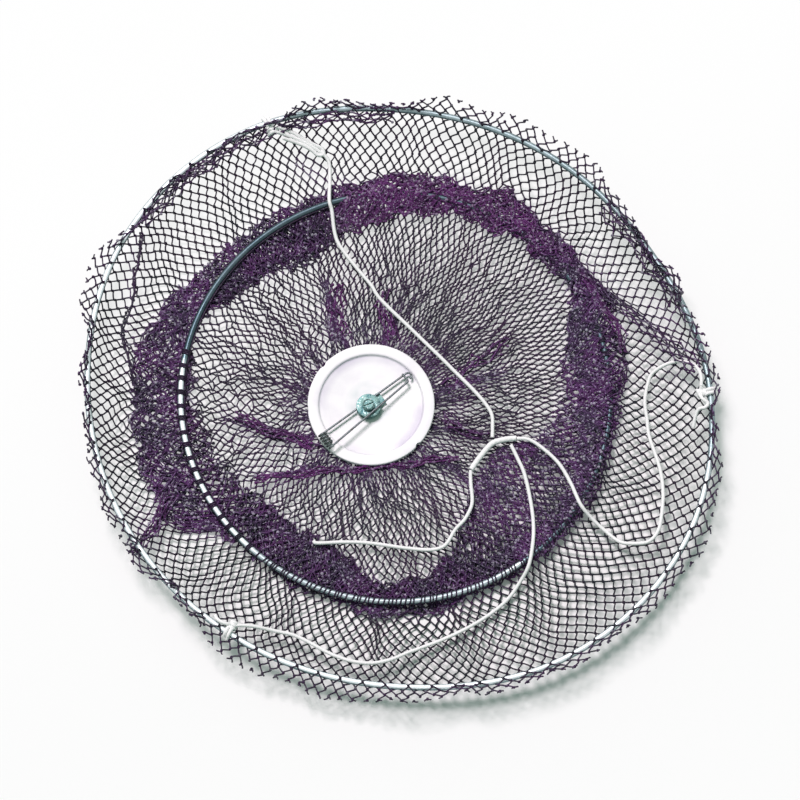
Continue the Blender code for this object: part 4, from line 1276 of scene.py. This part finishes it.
def clip_coil(start_turn, end_turn, first_aside, pitch):
    """A coil whose axis lies across the clip, counted in turns from its lowest point: the radius
    times less sin along, less cos up, and the pitch a turn aside."""
    turn = np.linspace(start_turn, end_turn, round((end_turn - start_turn) * 16) + 1)
    along = -COIL_BACK - COIL_RADIUS * np.sin(TURN * turn)
    aside = first_aside + pitch * (turn - start_turn)
    return clip_place(along, aside, CLIP_HEIGHT + COIL_RADIUS * (1 - np.cos(TURN * turn)))


steel_finish, root, place = new_finish("spring_steel", Specular_IOR_Level=0.5)
rust = root.noise(place, 260.0, 4.0, 0.6).ramp((0.55, 0), (0.75, 1))
drawn = root.noise(place, 1500.0, 2.0)
connect(
    root,
    Base_Color=rust.blend((0.105, 0.125, 0.130), (0.075, 0.045, 0.030)),
    Metallic=0.85 - rust * 0.55,
    Roughness=0.30 + rust * 0.35 + drawn * 0.1,
    Normal=bump(root, drawn + rust, 0.2, 0.0001),
)

turn = np.linspace(np.pi, 0, 11)
hook_aside = CLIP_ASIDE + CLIP_HOOK_RADIUS * (1 - np.cos(turn))
hook = clip_place(CLIP_TIP + CLIP_HOOK_RADIUS * np.sin(turn), hook_aside, CLIP_HEIGHT)
coil = clip_coil(0, CLIP_COIL_TURNS, CLIP_ASIDE, COIL_PITCH)
back_along = np.linspace(CLIP_TIP - 0.004, -COIL_BACK + 0.003, 9)
back_run = clip_place(back_along, np.full(9, CLIP_ASIDE), CLIP_HEIGHT)
back_line = smooth_line(np.vstack([hook, back_run, coil]), CLIP_STEP)
arm_root = clip_coil(CLIP_COIL_TURNS - 0.2, CLIP_COIL_TURNS, ARM_ASIDE, 0)
arm_corner = clip_place(
    np.array([ARM_BAR_ALONG - 0.0006, ARM_BAR_ALONG - 0.0002, ARM_BAR_ALONG]),
    np.array([ARM_BAR_START, ARM_BAR_START - 0.0002, ARM_BAR_START - 0.0006]), ARM_HEIGHT,
)
arm_end = clip_place(np.array([ARM_BAR_ALONG]), np.array([CLIP_ASIDE - CLIP_WIRE / 2]), ARM_HEIGHT)
share = np.linspace(0, 1, 9)[1:-1, None]
arm_run = arm_root[-1] + (arm_corner[0] - arm_root[-1]) * share
arm_line = smooth_line(np.vstack([arm_root, arm_run, arm_corner, arm_end]), CLIP_STEP)
across = np.array([np.sin(CLIP_DIRECTION), -np.cos(CLIP_DIRECTION), 0.0])
for name, line, node, body in (
    ("bait_clip_back", back_line, "clip_wire", "clip"), ("bait_clip_arm", arm_line, "clip_arm", "arm"),
):
    wire = add_tube(name, line, CLIP_WIRE / 2, 12, steel_finish, up=across * 0.35 + np.array([0, 0, 1.0]))
    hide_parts(node)
    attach(wire, body)


# The floor under it all and the studio's light: a broad soft key from the top of the photograph,
# and a pale green sky round it. The floor is white to the camera, and keeps the net's shadow.
FLOOR_SPAN = 3.0


def seen_rays(root):
    """1 for a ray from the camera, straight or off metal or through glass."""
    rays = root.node("LightPath").socket.node.outputs
    seen = Link(root.tree, rays["Is Camera Ray"])
    for kind in ("Glossy", "Transmission"):
        seen = root.math("MAXIMUM", seen, Link(root.tree, rays[f"Is {kind} Ray"]))
    return seen


floor_finish, root, place = new_finish("studio_floor", Base_Color=(0.95, 0.955, 0.952), Roughness=0.9)
seen = seen_rays(root)
# White light fills the shadow under the net, more of it towards the back left, and less of it in a
# patch behind the net's middle, to the right.
glow = (place.part(1) * 3.6 - place.part(0) * 1.4 + 0.47).ramp((0.0, 0.02), (1.0, 0.90))
distance = root.node("VectorMath", {"operation": "DISTANCE"}, {0: place, 1: (0.025, 0.045, 0.0)}, "Value")
shaded = distance.ramp((0.03, 0.35), (0.075, 0.0))
white = root.node("Emission", sockets={"Color": (1.0, 1.0, 1.0), "Strength": 1.0})
lit = Link(root.tree, root.tree.nodes["Principled BSDF"].outputs[0])
mixed = root.node("MixShader", sockets={0: seen * glow * (1 - shaded), 1: lit, 2: white})
root.tree.links.new(mixed.socket, root.tree.nodes["Material Output"].inputs["Surface"])
corners = FLOOR_SPAN * np.array([(-1, -1, 0), (1, -1, 0), (1, 1, 0), (-1, 1, 0)])
ground = add_piece("studio_floor", corners, [np.array([[0, 1, 2, 3]])], None, floor_finish)

key = bpy.data.objects.new("key_light", bpy.data.lights.new("key_light", "SUN"))
key.data.energy = 3.03
key.data.angle = np.radians(20)
key.data.color = (1.0, 0.883, 0.938)
key.rotation_euler = (np.radians(-24), np.radians(-15), 0)
bpy.context.scene.collection.objects.link(key)

world = bpy.data.worlds.new("pale_sky")
world.use_nodes = True
root = Link(world.node_tree)
seen = seen_rays(root)
sky = seen.blend((0.62, 1.0, 0.82), (1.0, 1.0, 1.0))
connect(root, "Background", Color=sky, Strength=seen * 0.74 + 0.26)
bpy.context.scene.world = world
